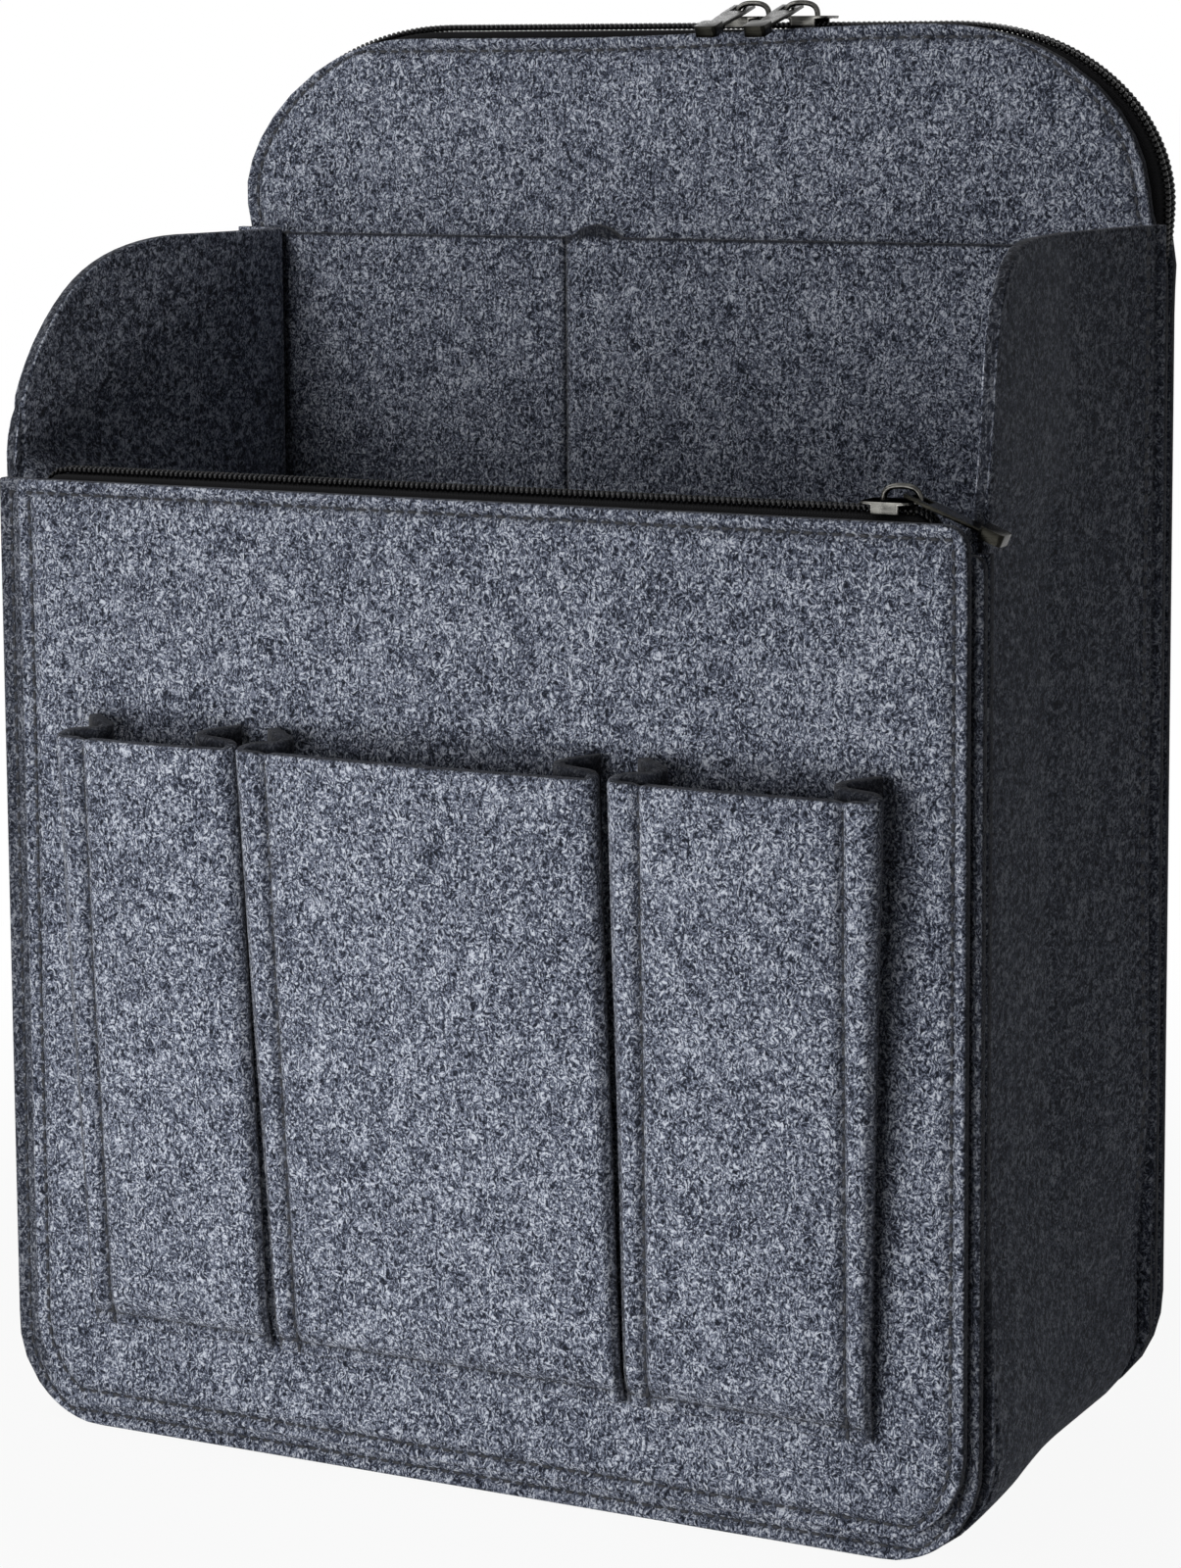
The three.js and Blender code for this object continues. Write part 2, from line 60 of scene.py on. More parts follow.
def span(node):
    """The sides of a CAD node, in the layout's millimetres."""
    low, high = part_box(node)
    return SimpleNamespace(
        left=(low.x - CENTRE_X) / MM,
        right=(high.x - CENTRE_X) / MM,
        front=(low.y - FRONT_Y) / MM,
        back=(high.y - FRONT_Y) / MM,
        bottom=low.z / MM,
        top=high.z / MM,
        middle=((low.y + high.y) / 2 - FRONT_Y) / MM,
    )


WALL = span("front_wall")
PANEL = span("front_zip_panel")
STRIP = span("gusset")
INNER = span("inner_pocket_panel")
BACK = span("back_wall")
OUTER = span("back_outer_panel")
POCKETS = {side: span("pocket_" + side) for side in ("left", "middle", "right")}
FRONT_COILS = [span("front_zip_coil_front"), span("front_zip_coil_rear")]
BACK_COILS = [span("back_zip_coil_front"), span("back_zip_coil_rear")]

# Felt and the cut of its panels
FELT = WALL.back - WALL.front
FLANGE = 6
CORNER = 22
BACK_FOOT_CORNER = 30
PANEL_FOOT_CORNER = 19
WALL_TOP_CORNERS = (0.5, 3)
PANEL_TOP_CORNERS = (1.5, 5)
PANEL_SPREAD = 1.2
INNER_CORNER = 12
INNER_TOP_CORNERS = (2, 2)
ARCH_STEP = 4
ARCH_RUN = 52
ARCH_SPRING = 280
ZIP_FOOT = 266

# The arch's top runs a little uphill to the right, and the felt leans forward beside each zip
ARCH_LOW, ARCH_HIGH = -1, 1.7
ARCH_CLIMB = (-30, 65)
BACK_RIGHT_HALF = 115.7
BACK_LEFT_RUN = 46.5
BACK_LEFT_SPRING = 278
BACK_LEFT_POWER = 1.85
BACK_LEFT_TUCK = 2.5
BACK_TUCK_RUN = 11
ZIP_LEAN = 0.6
ZIP_LEAN_RUN = 15

# Side walls, left -1 and right 1: the free edge climbs from the front wall to the level back part
STRIP_BEND = 6
STRIP_STEP = 4
BASE_STEPS, CORNER_STEPS, BEND_STEPS = 14, 8, 6
EDGE_START = {-1: 0, 1: 3.5}
EDGE_END = {-1: 64, 1: 50}
EDGE_POWER = {-1: 2, 1: 4}
EDGE_LOW = {-1: 6, 1: 0}
EDGE_LIFT = {-1: -0.8, 1: 3}

# Above the front wall and at the foot the strip goes straight back from its front edge
FLARE_REACH = {-1: 7.5, 1: 5}
FLARE_RUN = 90
FLARE_RISE = 12
STRAIGHT_JOIN = 45
FOOT_FAR = 3.2
FOOT_RUN = 70
FOOT_LOW = 5.8
FOOT_FADE = 60
REAR_DRAW = 3.3

# The right wall also goes straight back to its rear edge, with a line of stitches beside it
REAR_RUN = 60
REAR_STITCH = 7
REAR_STITCH_START = 30

# Both side walls bow inwards, more towards their back and above their foot
WALL_BOW = {-1: 5.7, 1: 2}
BOW_BACK = (25, 88)
BOW_UP = (40, 150)

# Outer back panel: it leans out to make room for the zip
LEAN = (228, 266)
SIDE_LEAN = (258, 286)
SIDE_BAND = 30

# Pockets: a double fold at each side, stitched through its two outer layers
POCKET_FOOT = 5
POCKET_FLAT = 9
POCKET_BULGE = 1.2
HEM_GAP = 0.3
FOLD_LAYER = 3.2
FOLD_DEPTH = 7.5
FOLD_SEAM = 2.5
FOLD_RISE = 3.6
FOLD_STITCH = 6.5
FRONT_INSETS = (1.6, 2.6, 3.6, 4.6, 5.6, FOLD_STITCH, 7.5, 8.5, 10.5, 14)
SQUEEZED = 0.25
# FOLD_SHADE: painted shade per grid line deeper into a pocket's side fold
FOLD_SHADE = 0.3
STITCHED_FROM = 2
TOPSTITCHED = {"left": (-1,), "middle": (-1,), "right": (-1, 1)}
STITCH_DRAW = 0.8
TAPERS = {
    "left": ((0, 0), (0.8, -2.6)),
    "middle": ((1.2, -1.2), (0, -2.8)),
    "right": ((-0.9, 0.7), (-3.6, 0.4)),
}
WELT_LINE = 0.95
WELT_SINK = 0.8
WELT_DIP = 0.5
WELT_FULL = 0.3

# Grid lines beside a cut edge, how full the felt is on each, and the wide grid between
EDGE_LINES = (0, 0.35, 1, 2, 3, 4, 5.5, 8)
EDGE_ROUND = (0.74, 0.95, 1)
# CUT_SHADE and SEWN_SHADE: painted shade just inside cut edges and along pinched seams
CUT_SHADE = (0.25, 0.1)
SEWN_SHADE = 1.1
SEAM_LINE = 4
SEAM_PINCH = {3: 0.86, 4: 0.48, 5: 0.86}
COARSE = 5.5
GROOVE_LINES = (0.5, 1.1, 2)
# Painted shade on the front wall's left and right margins beside the outer panel
MARGIN_SHADE = 0.65
RIGHT_MARGIN_SHADE = 0.3
MARGIN_LIFT = 6
MARGIN_LIFT_RUN = 40
RIPPLE = 0.55
RIPPLE_LENGTH = 65
RIPPLE_FADE = 25

# Zips: levels are above the felt edge, places across are from the chain's middle
TAPE = 0.6
TAPE_LEVELS = {"front": 0.7, "back": 0.4}
TAPE_HALF = 3.5
TAPE_FLAT = (0.7, 1.5, 2.5)
TAPE_FOLD = ((3.2, 0.3), (TAPE_HALF, 1.1))
TAPE_DROP = -1.6
TAPE_LEG = 12
TAPE_HEM = 6
TAPE_SLANT = 2.4
REAR_TAPE_FOOT = 0.8
HALF_SIDES = {"front": -1, "rear": 1}
CHAIN_STEP = 2
COIL_PITCH = 1.28
COIL_HEIGHT = 1.7
COIL_WIRE = 0.5
COIL_SLANT = 0.25
FRONT_PAST = (3, 4)
FRONT_DIP = 5
FRONT_DIP_RUN = 6
FRONT_DIP_PLACES = (-103, 104.5)
BACK_SINK = 4
LEG_STEPS, ARC_STEPS, TOP_STEPS = 10, 30, 32
TUCKED = 0.25
TUCK_SINK = 6
TUCK_RUN = 22
BACK_SWELL = 1
BACK_SWELL_RUN = (60, 100)

# Thread
STITCH_LENGTH = 2.3
STITCH_PITCH = 3.1
STITCH_RADIUS = 0.3
STITCH_SIDES = 6
STITCH_BODY, STITCH_END, STITCH_TIP = 0.7, 0.15, 0.5
CAP_FACING = 0.9

# Flat pocket panel inside: its divider, the painted shadow line of its mouth and the small tuck beside
# the divider
DIVIDER_X = -29
DIVIDER_WIDTH = 0.65
DIVIDER_DEPTH = 0.9
DIVIDER_ENDS = (4, 2)
MOUTH_LINE = 0.6
TUCK_X = (-25, -21, -17)
TUCK_HALF = 6.5
TUCK_RISE = 3
TUCK_FALL = 9

# Sliders and pulls: their rounded edges and the wire of a slider's bridge
EDGE_WEAR = 0.3
PULL_WEAR = 0.24
WIRE = 1.3
WIRE_SINK = 0.5
WIRE_STEPS = 24
WIRE_SPREAD, WIRE_LIFT = 0.8, 0.62
BRIDGE_HALF = 4.75
BRIDGE_HEIGHT = 3.7
BRIDGE_CUT = 0.02
MERGE = 0.00001
FLAT_ANGLE = math.radians(2)
BEVEL_ANGLE = math.radians(25)
SMOOTH_ANGLE = math.radians(40)

# Finishes, in metres: the felt's grain and tones, the tape's ribs and the metals' tones
FIBRE_LIES = (
    (0, 0.25, 0.2),
    (0, 1.35, -0.3),
    (0, -0.85, 0.3),
    (0, 0.8, 1.2),
    (0, -0.45, 1.5),
    (0, 1.9, 0.9),
)
FIBRE_LENGTH = 0.0019
FIBRE_WIDTH = 0.00044
# FELT_DEEP: the dark colour the felt is blended to by painted shade and at cut ends; RAW_SHADE: cut ends,
# partly their own darker fibres and partly painted shade
FELT_DEEP = (0.006, 0.007, 0.011, 1)
RAW_SHADE = 0.85
STREAK = (0.0008, 0.0024, 0.0015)
STREAK_LEVEL = 1.5
FELT_TONES = (
    (0.0, (0.008, 0.010, 0.016)),
    (0.25, (0.036, 0.042, 0.064)),
    (0.5, (0.120, 0.136, 0.184)),
    (0.75, (0.275, 0.300, 0.372)),
    (1.0, (0.60, 0.63, 0.70)),
)
FIBRE_CONTRAST = 2.9
CURL_SCALE = 420
CURL = 0.0022
MOTTLE = ((0.0042, 2.0, 0.55), (0.013, 1.0, 0.22))
# How far painted shade and the dark cut ends blend the felt towards FELT_DEEP
DEEP_SHADE = 0.9
RIB_SCALE = 9000
# Metal tones: dull, bright, and the edge tone, which is partly wear and partly a painted highlight
GUNMETAL = ((0.012, 0.012, 0.0115), (0.11, 0.108, 0.1), (0.34, 0.33, 0.31))
BLACK_NICKEL = ((0.004, 0.004, 0.0035), (0.014, 0.0135, 0.011), (0.055, 0.054, 0.049))

# Stage, in metres: each lamp's spot, aim, width, height and power
LAMPS = {
    "key": ((-0.22, -0.8, 0.1), (0, 0, 0.12), 0.4, 0.4, 2.75),
    "low": ((-0.03, -0.34, 0.06), (0, 0, 0.05), 0.36, 0.08, 0.55),
    "side": ((0.8, -0.05, 0.1), (0, 0, 0.15), 0.5, 0.22, 0.11),
    "high": ((-0.24, -0.15, 0.54), (0, 0.05, 0.27), 0.3, 0.15, 0.88),
    "rear": ((-0.3, 0.9, 0.3), (0, 0, 0.15), 0.5, 0.5, 2.2),
}
SEEN_RAYS = ("Is Camera Ray", "Is Glossy Ray", "Is Transmission Ray")
SKY_LEVEL = 0.03
FLOOR_SIZE = 8
FLOOR_COLOUR = (0.5, 0.5, 0.5, 1)
WHITE = (1, 1, 1, 1)
FLOOR_LEVEL = 0.93
FLOOR_FADE = (0.15, 0.6)

# Camera, from the photograph's fitted view
CAMERA_SPOT = (432.9, -783.94, 317.55)
CAMERA_YAW = math.radians(27.143)
CAMERA_PITCH = math.radians(7.333)
CAMERA_ROLL = math.radians(-0.359)
CAMERA_LENS = 96.44
CAMERA_SHIFT = -0.13


def at(x, y, z):
    """A layout point in metres, in the shared frame."""
    return Vector((CENTRE_X + x * MM, FRONT_Y + y * MM, z * MM))


def clamped(share):
    return min(1, max(0, share))


def smooth(share):
    """An S-curve from 0 at share 0 to 1 at share 1."""
    share = clamped(share)
    return share * share * (3 - 2 * share)


def eased(value, start, end):
    """The same S-curve as a value goes from start to end."""
    return smooth((value - start) / (end - start))


def mix(low, high, share):
    return low + (high - low) * share


class Socket:
    """A socket of a finish's nodes. Arithmetic on it adds Math nodes."""

    def __init__(self, finish, socket):
        self.finish = finish
        self.socket = socket

    def math(self, operation, first, second=0.0):
        return self.finish.node("ShaderNodeMath", {"operation": operation}, {0: first, 1: second})

    def __add__(self, other):
        return self.math("ADD", self, other)

    def __sub__(self, other):
        return self.math("SUBTRACT", self, other)

    def __rsub__(self, other):
        return self.math("SUBTRACT", other, self)

    def __mul__(self, other):
        return self.math("MULTIPLY", self, other)

    def larger(self, other):
        return self.math("MAXIMUM", self, other)

    def smaller(self, other):
        return self.math("MINIMUM", self, other)

    def sine(self):
        return self.math("SINE", self)

    __radd__ = __add__
    __rmul__ = __mul__


class Finish:
    """The look of a material or of the world, built node by node."""

    def __init__(self, name, kind="materials"):
        self.owner = getattr(bpy.data, kind).new(name)
        self.owner.use_nodes = True
        self.tree = self.owner.node_tree
        self.tree.nodes.clear()

    def node(self, kind, settings=None, inputs=None, output=0):
        """A new node's output. Settings are made first, then its sockets' values or links."""
        made = self.tree.nodes.new(kind)
        for name, value in (settings or {}).items():
            if name == "stops":
                ramp = made.color_ramp.elements
                while len(ramp) < len(value):
                    ramp.new(1.0)
                for element, (place, colour) in zip(ramp, value):
                    element.position = place
                    element.color = (*colour, 1)
            else:
                setattr(made, name, value)
        for name, value in (inputs or {}).items():
            if isinstance(value, Socket):
                self.tree.links.new(value.socket, made.inputs[name])
            else:
                made.inputs[name].default_value = value
        return Socket(self, made.outputs[output])

    def place(self):
        return self.node("ShaderNodeTexCoord", output="Object")

    def noise(self, vector, size, detail=2.0):
        """Soft noise with features of about that size in metres."""
        inputs = {"Vector": vector, "Scale": 1 / size, "Detail": detail}
        return self.node("ShaderNodeTexNoise", None, inputs)

    def attribute(self, name):
        return self.node("ShaderNodeAttribute", {"attribute_name": name}, output="Fac")

    def vector(self, operation, inputs, output=0):
        return self.node("ShaderNodeVectorMath", {"operation": operation}, inputs, output)

    def drawn_out(self, vector, scale, rotation=(0, 0, 0)):
        """Places stretched along three axes, for a grain with a lie."""
        inputs = {"Vector": vector, "Rotation": rotation, "Scale": scale}
        return self.node("ShaderNodeMapping", {"vector_type": "TEXTURE"}, inputs)

    def ramp(self, stops, share):
        return self.node("ShaderNodeValToRGB", {"stops": stops}, {"Fac": share})

    def blend(self, share, first, second):
        return self.node("ShaderNodeMix", {"data_type": "RGBA"}, {0: share, 6: first, 7: second}, 2)

    def bump(self, height, distance, strength=1.0):
        inputs = {"Height": height, "Distance": distance, "Strength": strength}
        return self.node("ShaderNodeBump", None, inputs)

    def surface(self, **inputs):
        """Ends the finish with one shader, given by its sockets' names."""
        sockets = {name.replace("_", " "): value for name, value in inputs.items()}
        return self.end(self.node("ShaderNodeBsdfPrincipled", None, sockets))

    def end(self, shader, kind="ShaderNodeOutputMaterial"):
        made = self.tree.nodes.new(kind)
        self.tree.links.new(shader.socket, made.inputs["Surface"])
        return self.owner

    def seen(self):
        """1 on rays that show the stage itself, 0 on those that light the object."""
        camera, glossy, clear = (self.node("ShaderNodeLightPath", output=ray) for ray in SEEN_RAYS)
        return camera.larger(glossy).larger(clear)


def felt_finish():
    """Heathered needle felt: curled light and dark fibres that cross over a soft mottle."""
    felt = Finish("heathered_felt")
    place = felt.place()
    inputs = {"Vector": place, "Scale": CURL_SCALE, "Detail": 1.0}
    curl = felt.node("ShaderNodeTexNoise", None, inputs, "Color")
    curl = felt.vector("SUBTRACT", {0: curl, 1: (0.5, 0.5, 0.5)})
    curl = felt.vector("SCALE", {0: curl, "Scale": CURL})
    curled = felt.vector("ADD", {0: place, 1: curl})
    scale = (FIBRE_LENGTH, FIBRE_WIDTH, FIBRE_WIDTH)
    layers = [felt.noise(felt.drawn_out(curled, scale, lie), 1, 0.5) for lie in FIBRE_LIES]
    light = dark = layers[0]
    for layer in layers[1:]:
        light = light.larger(layer)
        dark = dark.smaller(layer)
    fibres = light + dark - 1
    fine, broad = ((felt.noise(place, size, detail) - 0.5) * level for size, detail, level in MOTTLE)
    streaks = (felt.noise(felt.drawn_out(curled, STREAK), 1, 1.0) - 0.5) * felt.attribute("streaked")
    tone = fibres * FIBRE_CONTRAST + (fine + broad) + streaks + 0.5
    # Painted shade from seams, folds and margins, and the cut ends (partly darker fibres, partly painted
    # shade), blend the felt towards FELT_DEEP
    deep = felt.attribute("recess").larger(felt.attribute("raw_edge") * RAW_SHADE) * DEEP_SHADE
    colour = felt.blend(deep, felt.ramp(FELT_TONES, tone), FELT_DEEP)
    nap = felt.bump(fibres, 0.0006, 0.5)
    return felt.surface(Base_Color=colour, Roughness=0.96, Normal=nap, Specular_IOR_Level=0.15,
                        Sheen_Weight=0.12, Sheen_Roughness=0.5)


def tape_finish():
    """Black woven zip tape with fine ribs, a little grey where it is rubbed."""
    tape = Finish("woven_tape")
    place = tape.place()
    across = tape.node("ShaderNodeSeparateXYZ", None, {0: place})
    along = tape.node("ShaderNodeSeparateXYZ", None, {0: place}, 2)
    ribs = (across * RIB_SCALE).sine() * (along * RIB_SCALE).sine()
    dust = tape.noise(place, 0.0012)
    stops = ((0.3, (0.002, 0.002, 0.0025)), (0.75, (0.007, 0.007, 0.008)))
    colour = tape.ramp(stops, ribs * 0.14 + dust)
    weave = tape.bump(ribs, 0.00012, 0.8)
    return tape.surface(Base_Color=colour, Roughness=dust * 0.2 + 0.7, Normal=weave,
                        Specular_IOR_Level=0.12)


def coil_finish():
    """Satin black nylon, paler where the slider rubs."""
    coil = Finish("nylon_coil")
    rub = coil.noise(coil.place(), 0.002)
    stops = ((0.3, (0.002, 0.002, 0.0025)), (0.8, (0.009, 0.009, 0.01)))
    colour = coil.ramp(stops, rub)
    return coil.surface(Base_Color=colour, Roughness=rub * 0.15 + 0.16, Specular_IOR_Level=0.25)


def metal_finish(name, dull, bright, worn):
    """Dark plating, finely brushed, with cloudy wear, and edges made bright: partly rubbed plating,
    partly a painted highlight.
    """
    metal = Finish(name)
    place = metal.place()
    brush = metal.noise(metal.drawn_out(place, (0.006, 0.00025, 0.00025)), 1, 1.0)
    cloud = metal.noise(place, 0.0025)
    colour = metal.ramp(((0.3, dull), (0.72, bright)), brush * 0.4 + cloud * 0.6)
    colour = metal.blend(metal.attribute("worn") * cloud, colour, (*worn, 1))
    return metal.surface(Base_Color=colour, Metallic=1.0, Roughness=cloud * 0.22 + brush * 0.14 + 0.08,
                         Normal=metal.bump(brush, 0.00004, 0.5))


def thread_finish():
    """Dark polyester thread with a twist."""
    thread = Finish("dark_thread")
    fluff = thread.noise(thread.place(), 0.0004, 1.0)
    stops = ((0.25, (0.005, 0.006, 0.009)), (0.8, (0.022, 0.024, 0.032)))
    return thread.surface(Base_Color=thread.ramp(stops, fluff), Roughness=fluff * 0.3 + 0.5,
                          Normal=thread.bump(fluff, 0.0001))


felt_material = felt_finish()
tape_material = tape_finish()
coil_material = coil_finish()
slider_material = metal_finish("gunmetal", *GUNMETAL)
pull_material = metal_finish("black_nickel", *BLACK_NICKEL)
thread_material = thread_finish()


def deselect():
    bpy.ops.object.select_all(action="DESELECT")


def select(piece):
    """Makes one piece the selected and active one."""
    deselect()
    piece.select_set(True)
    bpy.context.view_layer.objects.active = piece


def new_object(name, data):
    made = bpy.data.objects.new(name, data)
    bpy.context.collection.objects.link(made)
    return made


def fit_out(piece, material, body="felt_body"):
    """Gives a piece its finish and the body that it moves with."""
    piece.data.materials.clear()
    piece.data.materials.append(material)
    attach(piece, body)


def cut_sheet(name, rows, fullness, thickness):
    """A sheet through rows of points, and how full it is at each."""
    deselect()
    bpy.ops.mesh.primitive_grid_add(x_subdivisions=len(rows[0]) - 1, y_subdivisions=len(rows) - 1)
    sheet = bpy.context.object
    sheet.name = sheet.data.name = name
    places = np.array(rows, dtype=float) * MM + LAYOUT_CORNER
    sheet.data.vertices.foreach_set("co", places.ravel())
    sheet.data.update()
    group = sheet.vertex_groups.new(name="fullness")
    for index, share in enumerate(share for row in fullness for share in row):
        group.add([index], share, "REPLACE")
    # Painted shade: darker just inside the cut edges and along the seams, where the felt is pinched
    depth = sheet.data.attributes.new("recess", "FLOAT", "POINT")
    across, along = len(rows[0]), len(rows)
    for index in range(across * along):
        i, j = index % across, index // across
        ring = min(i, across - 1 - i, j, along - 1 - j)
        cut = CUT_SHADE[ring] if ring < len(CUT_SHADE) else 0
        sewn = min(1, (1 - fullness[j][i]) * SEWN_SHADE) if ring > 1 else 0
        depth.data[index].value = max(cut, sewn)
    solid = sheet.modifiers.new("thickness", "SOLIDIFY")
    solid.thickness = thickness * MM
    solid.offset = 0
    solid.vertex_group = group.name
    bpy.ops.object.modifier_apply(modifier=solid.name)
    bpy.ops.object.shade_smooth()
    faces = 2 * (across - 1) * (along - 1)
    raw = sheet.data.attributes.new("raw_edge", "FLOAT", "FACE")
    for index in range(faces, len(sheet.data.polygons)):
        raw.data[index].value = 1
    return sheet


def shade(sheet, depth):
    """Darkens a sheet by a depth from 0 to 1, given for each place."""
    recess = sheet.data.attributes["recess"].data
    corner = at(0, 0, 0)
    for vertex in sheet.data.vertices:
        x, _, z = (vertex.co - corner) / MM
        value = recess[vertex.index].value
        recess[vertex.index].value = max(value, depth(x, z))


def graded(low, high, step=COARSE):
    """Grid lines from low to high, close along both edges."""
    band = EDGE_LINES[-1]
    count = max(1, round((high - low - 2 * band) / step))
    middle = [mix(low + band, high - band, i / count) for i in range(1, count)]
    return [low + e for e in EDGE_LINES] + middle + [high - e for e in reversed(EDGE_LINES)]


def fitted(lines, left, right):
    """The same grid lines between new sides. The close ones keep their distance."""
    band = EDGE_LINES[-1]
    low, high = lines[0], lines[-1]
    placed = []
    for line in lines:
        if line - low < band:
            placed.append(left + line - low)
        elif high - line < band:
            placed.append(right - (high - line))
        else:
            share = (line - low - band) / (high - low - 2 * band)
            placed.append(mix(left + band, right - band, share))
    return placed


def edge_full(ring):
    """How full the felt is on a grid line so many lines in from its cut edge."""
    return EDGE_ROUND[ring] if ring < len(EDGE_ROUND) else 1


def sewn_fullness(across, along, hems=(True, True)):
    """How full the felt is over a grid: rounded at cut edges, pinched along its seams."""
    grid = []
    for j in range(along):
        row = []
        for i in range(across):
            sides = min(i, across - 1 - i)
            edge = min(sides, j, along - 1 - j)
            seam = sides
            if hems[0]:
                seam = min(seam, j)
            if hems[1]:
                seam = min(seam, along - 1 - j)
            row.append(edge_full(edge) * SEAM_PINCH.get(seam, 1))
        grid.append(row)
    return grid


def corner_inset(height, run, rise, power=2):
    """How far a rounded corner draws an edge in at a height from its start."""
    share = 1 - clamped(height / rise)
    return run * (1 - (1 - share ** power) ** (1 / power))


def rounded_edges(box, foot_corner, top_corners):
    """The left and right edge of a panel with rounded corners, at a height."""
    def edges(z):
        foot = corner_inset(z - box.bottom, foot_corner, foot_corner)
        left, right = (foot + corner_inset(box.top - z, corner, corner) for corner in top_corners)
        return box.left + left, box.right - right
    return edges


def stepped(z):
    """How far an arched panel's side has stepped in above its zip's foot, from 0 to 1."""
    return clamped((z - ZIP_FOOT) / (ARCH_SPRING - ZIP_FOOT))


def outer_edges(z):
    """The outer back panel's left and right edge at a height."""
    inset = corner_inset(z - OUTER.bottom, BACK_FOOT_CORNER, BACK_FOOT_CORNER)
    inset += ARCH_STEP * stepped(z)
    inset += corner_inset(OUTER.top - z, ARCH_RUN, OUTER.top - ARCH_SPRING)
    return OUTER.left + inset, OUTER.right - inset


def back_wall_edges(z):
    """The back wall's left and right edge at a height. Its arch is fuller on the left."""
    foot = corner_inset(z - BACK.bottom, BACK_FOOT_CORNER, BACK_FOOT_CORNER)
    left = corner_inset(BACK.top - z, BACK_LEFT_RUN, BACK.top - BACK_LEFT_SPRING, BACK_LEFT_POWER)
    left += BACK_LEFT_TUCK * math.exp(-((z - ZIP_FOOT) / BACK_TUCK_RUN) ** 2)
    step = (BACK.right - BACK_RIGHT_HALF) * stepped(z)
    right = step + corner_inset(BACK.top - z, ARCH_RUN, BACK.top - ARCH_SPRING)
    return BACK.left + foot + left, BACK.right - foot - right


def ripple(x, z):
    """The slow unevenness of the front's felt, away from its edges."""
    edge = min(x - WALL.left, WALL.right - x, z, PANEL.top - z)
    return RIPPLE * noise.noise(Vector((x, 0, z)) / RIPPLE_LENGTH) * smooth(edge / RIPPLE_FADE)


def panel_rows(box, edges, depth, seams=()):
    """Rows of points over a panel between its edges, at the depth of each place."""
    lines = graded(box.left, box.right)
    for seam in seams:
        lines = [line for line in lines if abs(line - seam) > GROOVE_LINES[-1] + 1]
        lines = sorted(lines + [seam + side * off for off in GROOVE_LINES for side in (-1, 1)] + [seam])
    rows = []
    for z in graded(box.bottom, box.top):
        rows.append([(x, depth(x, z), z) for x in fitted(lines, *edges(z))])
    return rows


def lifted(rows, lift):
    """The same rows, each point raised by the lift at its place."""
    return [[(x, y, z + lift(x, z)) for x, y, z in row] for row in rows]


def marks(path, pitch):
    """Places a pitch apart along a path: each one's leg and its share of that leg."""
    run = 0
    for leg, (start, end) in enumerate(zip(path, path[1:])):
        length = (end - start).length
        while run < length:
            yield leg, run / length
            run += pitch
        run -= length


threads = []


def sew(points, facing, above):
    """Lays stitches along a path, so far above the sheet's middle on the side given."""
    facing = Vector(facing).normalized()
    path = [Vector(point) for point in points]
    for leg, share in marks(path, STITCH_PITCH):
        start, end = path[leg:leg + 2]
        threads.append((start.lerp(end, share) + facing * above, (end - start).normalized(), facing))


def seam_loop(rows, facing, mouth=False):
    """Stitches round a panel, a little in from its cut edge."""
    first, last = SEAM_LINE, -1 - SEAM_LINE
    above = FELT / 2 * SEAM_PINCH[SEAM_LINE]
    sides = rows[first:] if mouth else rows[first:-SEAM_LINE]
    sew([row[first] for row in sides], facing, above)
    sew([row[last] for row in sides], facing, above)
    sew(rows[first][first:-SEAM_LINE], facing, above)
    if not mouth:
        sew(rows[last][first:-SEAM_LINE], facing, above)


def felt_panel(node, rows, facing, mouth=False):
    """A flat sewn panel in place of its CAD node."""
    fullness = sewn_fullness(len(rows[0]), len(rows), (True, not mouth))
    panel = cut_sheet(node + "_felt", rows, fullness, FELT)
    fit_out(panel, felt_material)
    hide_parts(node)
    seam_loop(rows, facing, mouth)
    return panel


FRONT, REAR = (0, -1, 0), (0, 1, 0)


# Front wall, with painted shade along its margins, and the outer front panel of the zipped pocket
def margin_lift(x, z):
    """How far the wall's left margin is drawn up beside the panel's top corner."""
    across = smooth((PANEL.left + SEAM_LINE - x) / SEAM_LINE)
    return MARGIN_LIFT * across * smooth((z - WALL.top + MARGIN_LIFT_RUN) / MARGIN_LIFT_RUN)


wall_edges = rounded_edges(WALL, CORNER, WALL_TOP_CORNERS)
wall_rows = panel_rows(WALL, wall_edges, lambda x, z: WALL.middle + ripple(x, z))
front_wall = felt_panel("front_wall", lifted(wall_rows, margin_lift), FRONT)


def margin_painted_shade(x, z):
    """How much painted shade darkens the wall's margins beside the outer panel."""
    if x < PANEL.left + 1:
        return MARGIN_SHADE
    return RIGHT_MARGIN_SHADE if x > PANEL.right - 1 else 0


shade(front_wall, margin_painted_shade)


def zip_lean(z, top):
    """How far the felt beside a zip leans forward near its top edge."""
    return ZIP_LEAN * smooth((z - top + ZIP_LEAN_RUN) / ZIP_LEAN_RUN)


PANEL.right += PANEL_SPREAD
panel_edges = rounded_edges(PANEL, PANEL_FOOT_CORNER, PANEL_TOP_CORNERS)
front_rows = panel_rows(PANEL, panel_edges,
                        lambda x, z: PANEL.middle + ripple(x, z) - zip_lean(z, PANEL.top))
felt_panel("front_zip_panel", front_rows, FRONT)


# Tall arched back wall, and the outer back panel that leans out under its zip
def arch_lift(x, z):
    """How far the back wall is raised towards its uphill arch."""
    return mix(ARCH_LOW, ARCH_HIGH, eased(x, *ARCH_CLIMB)) * eased(z, ZIP_FOOT, BACK.top)


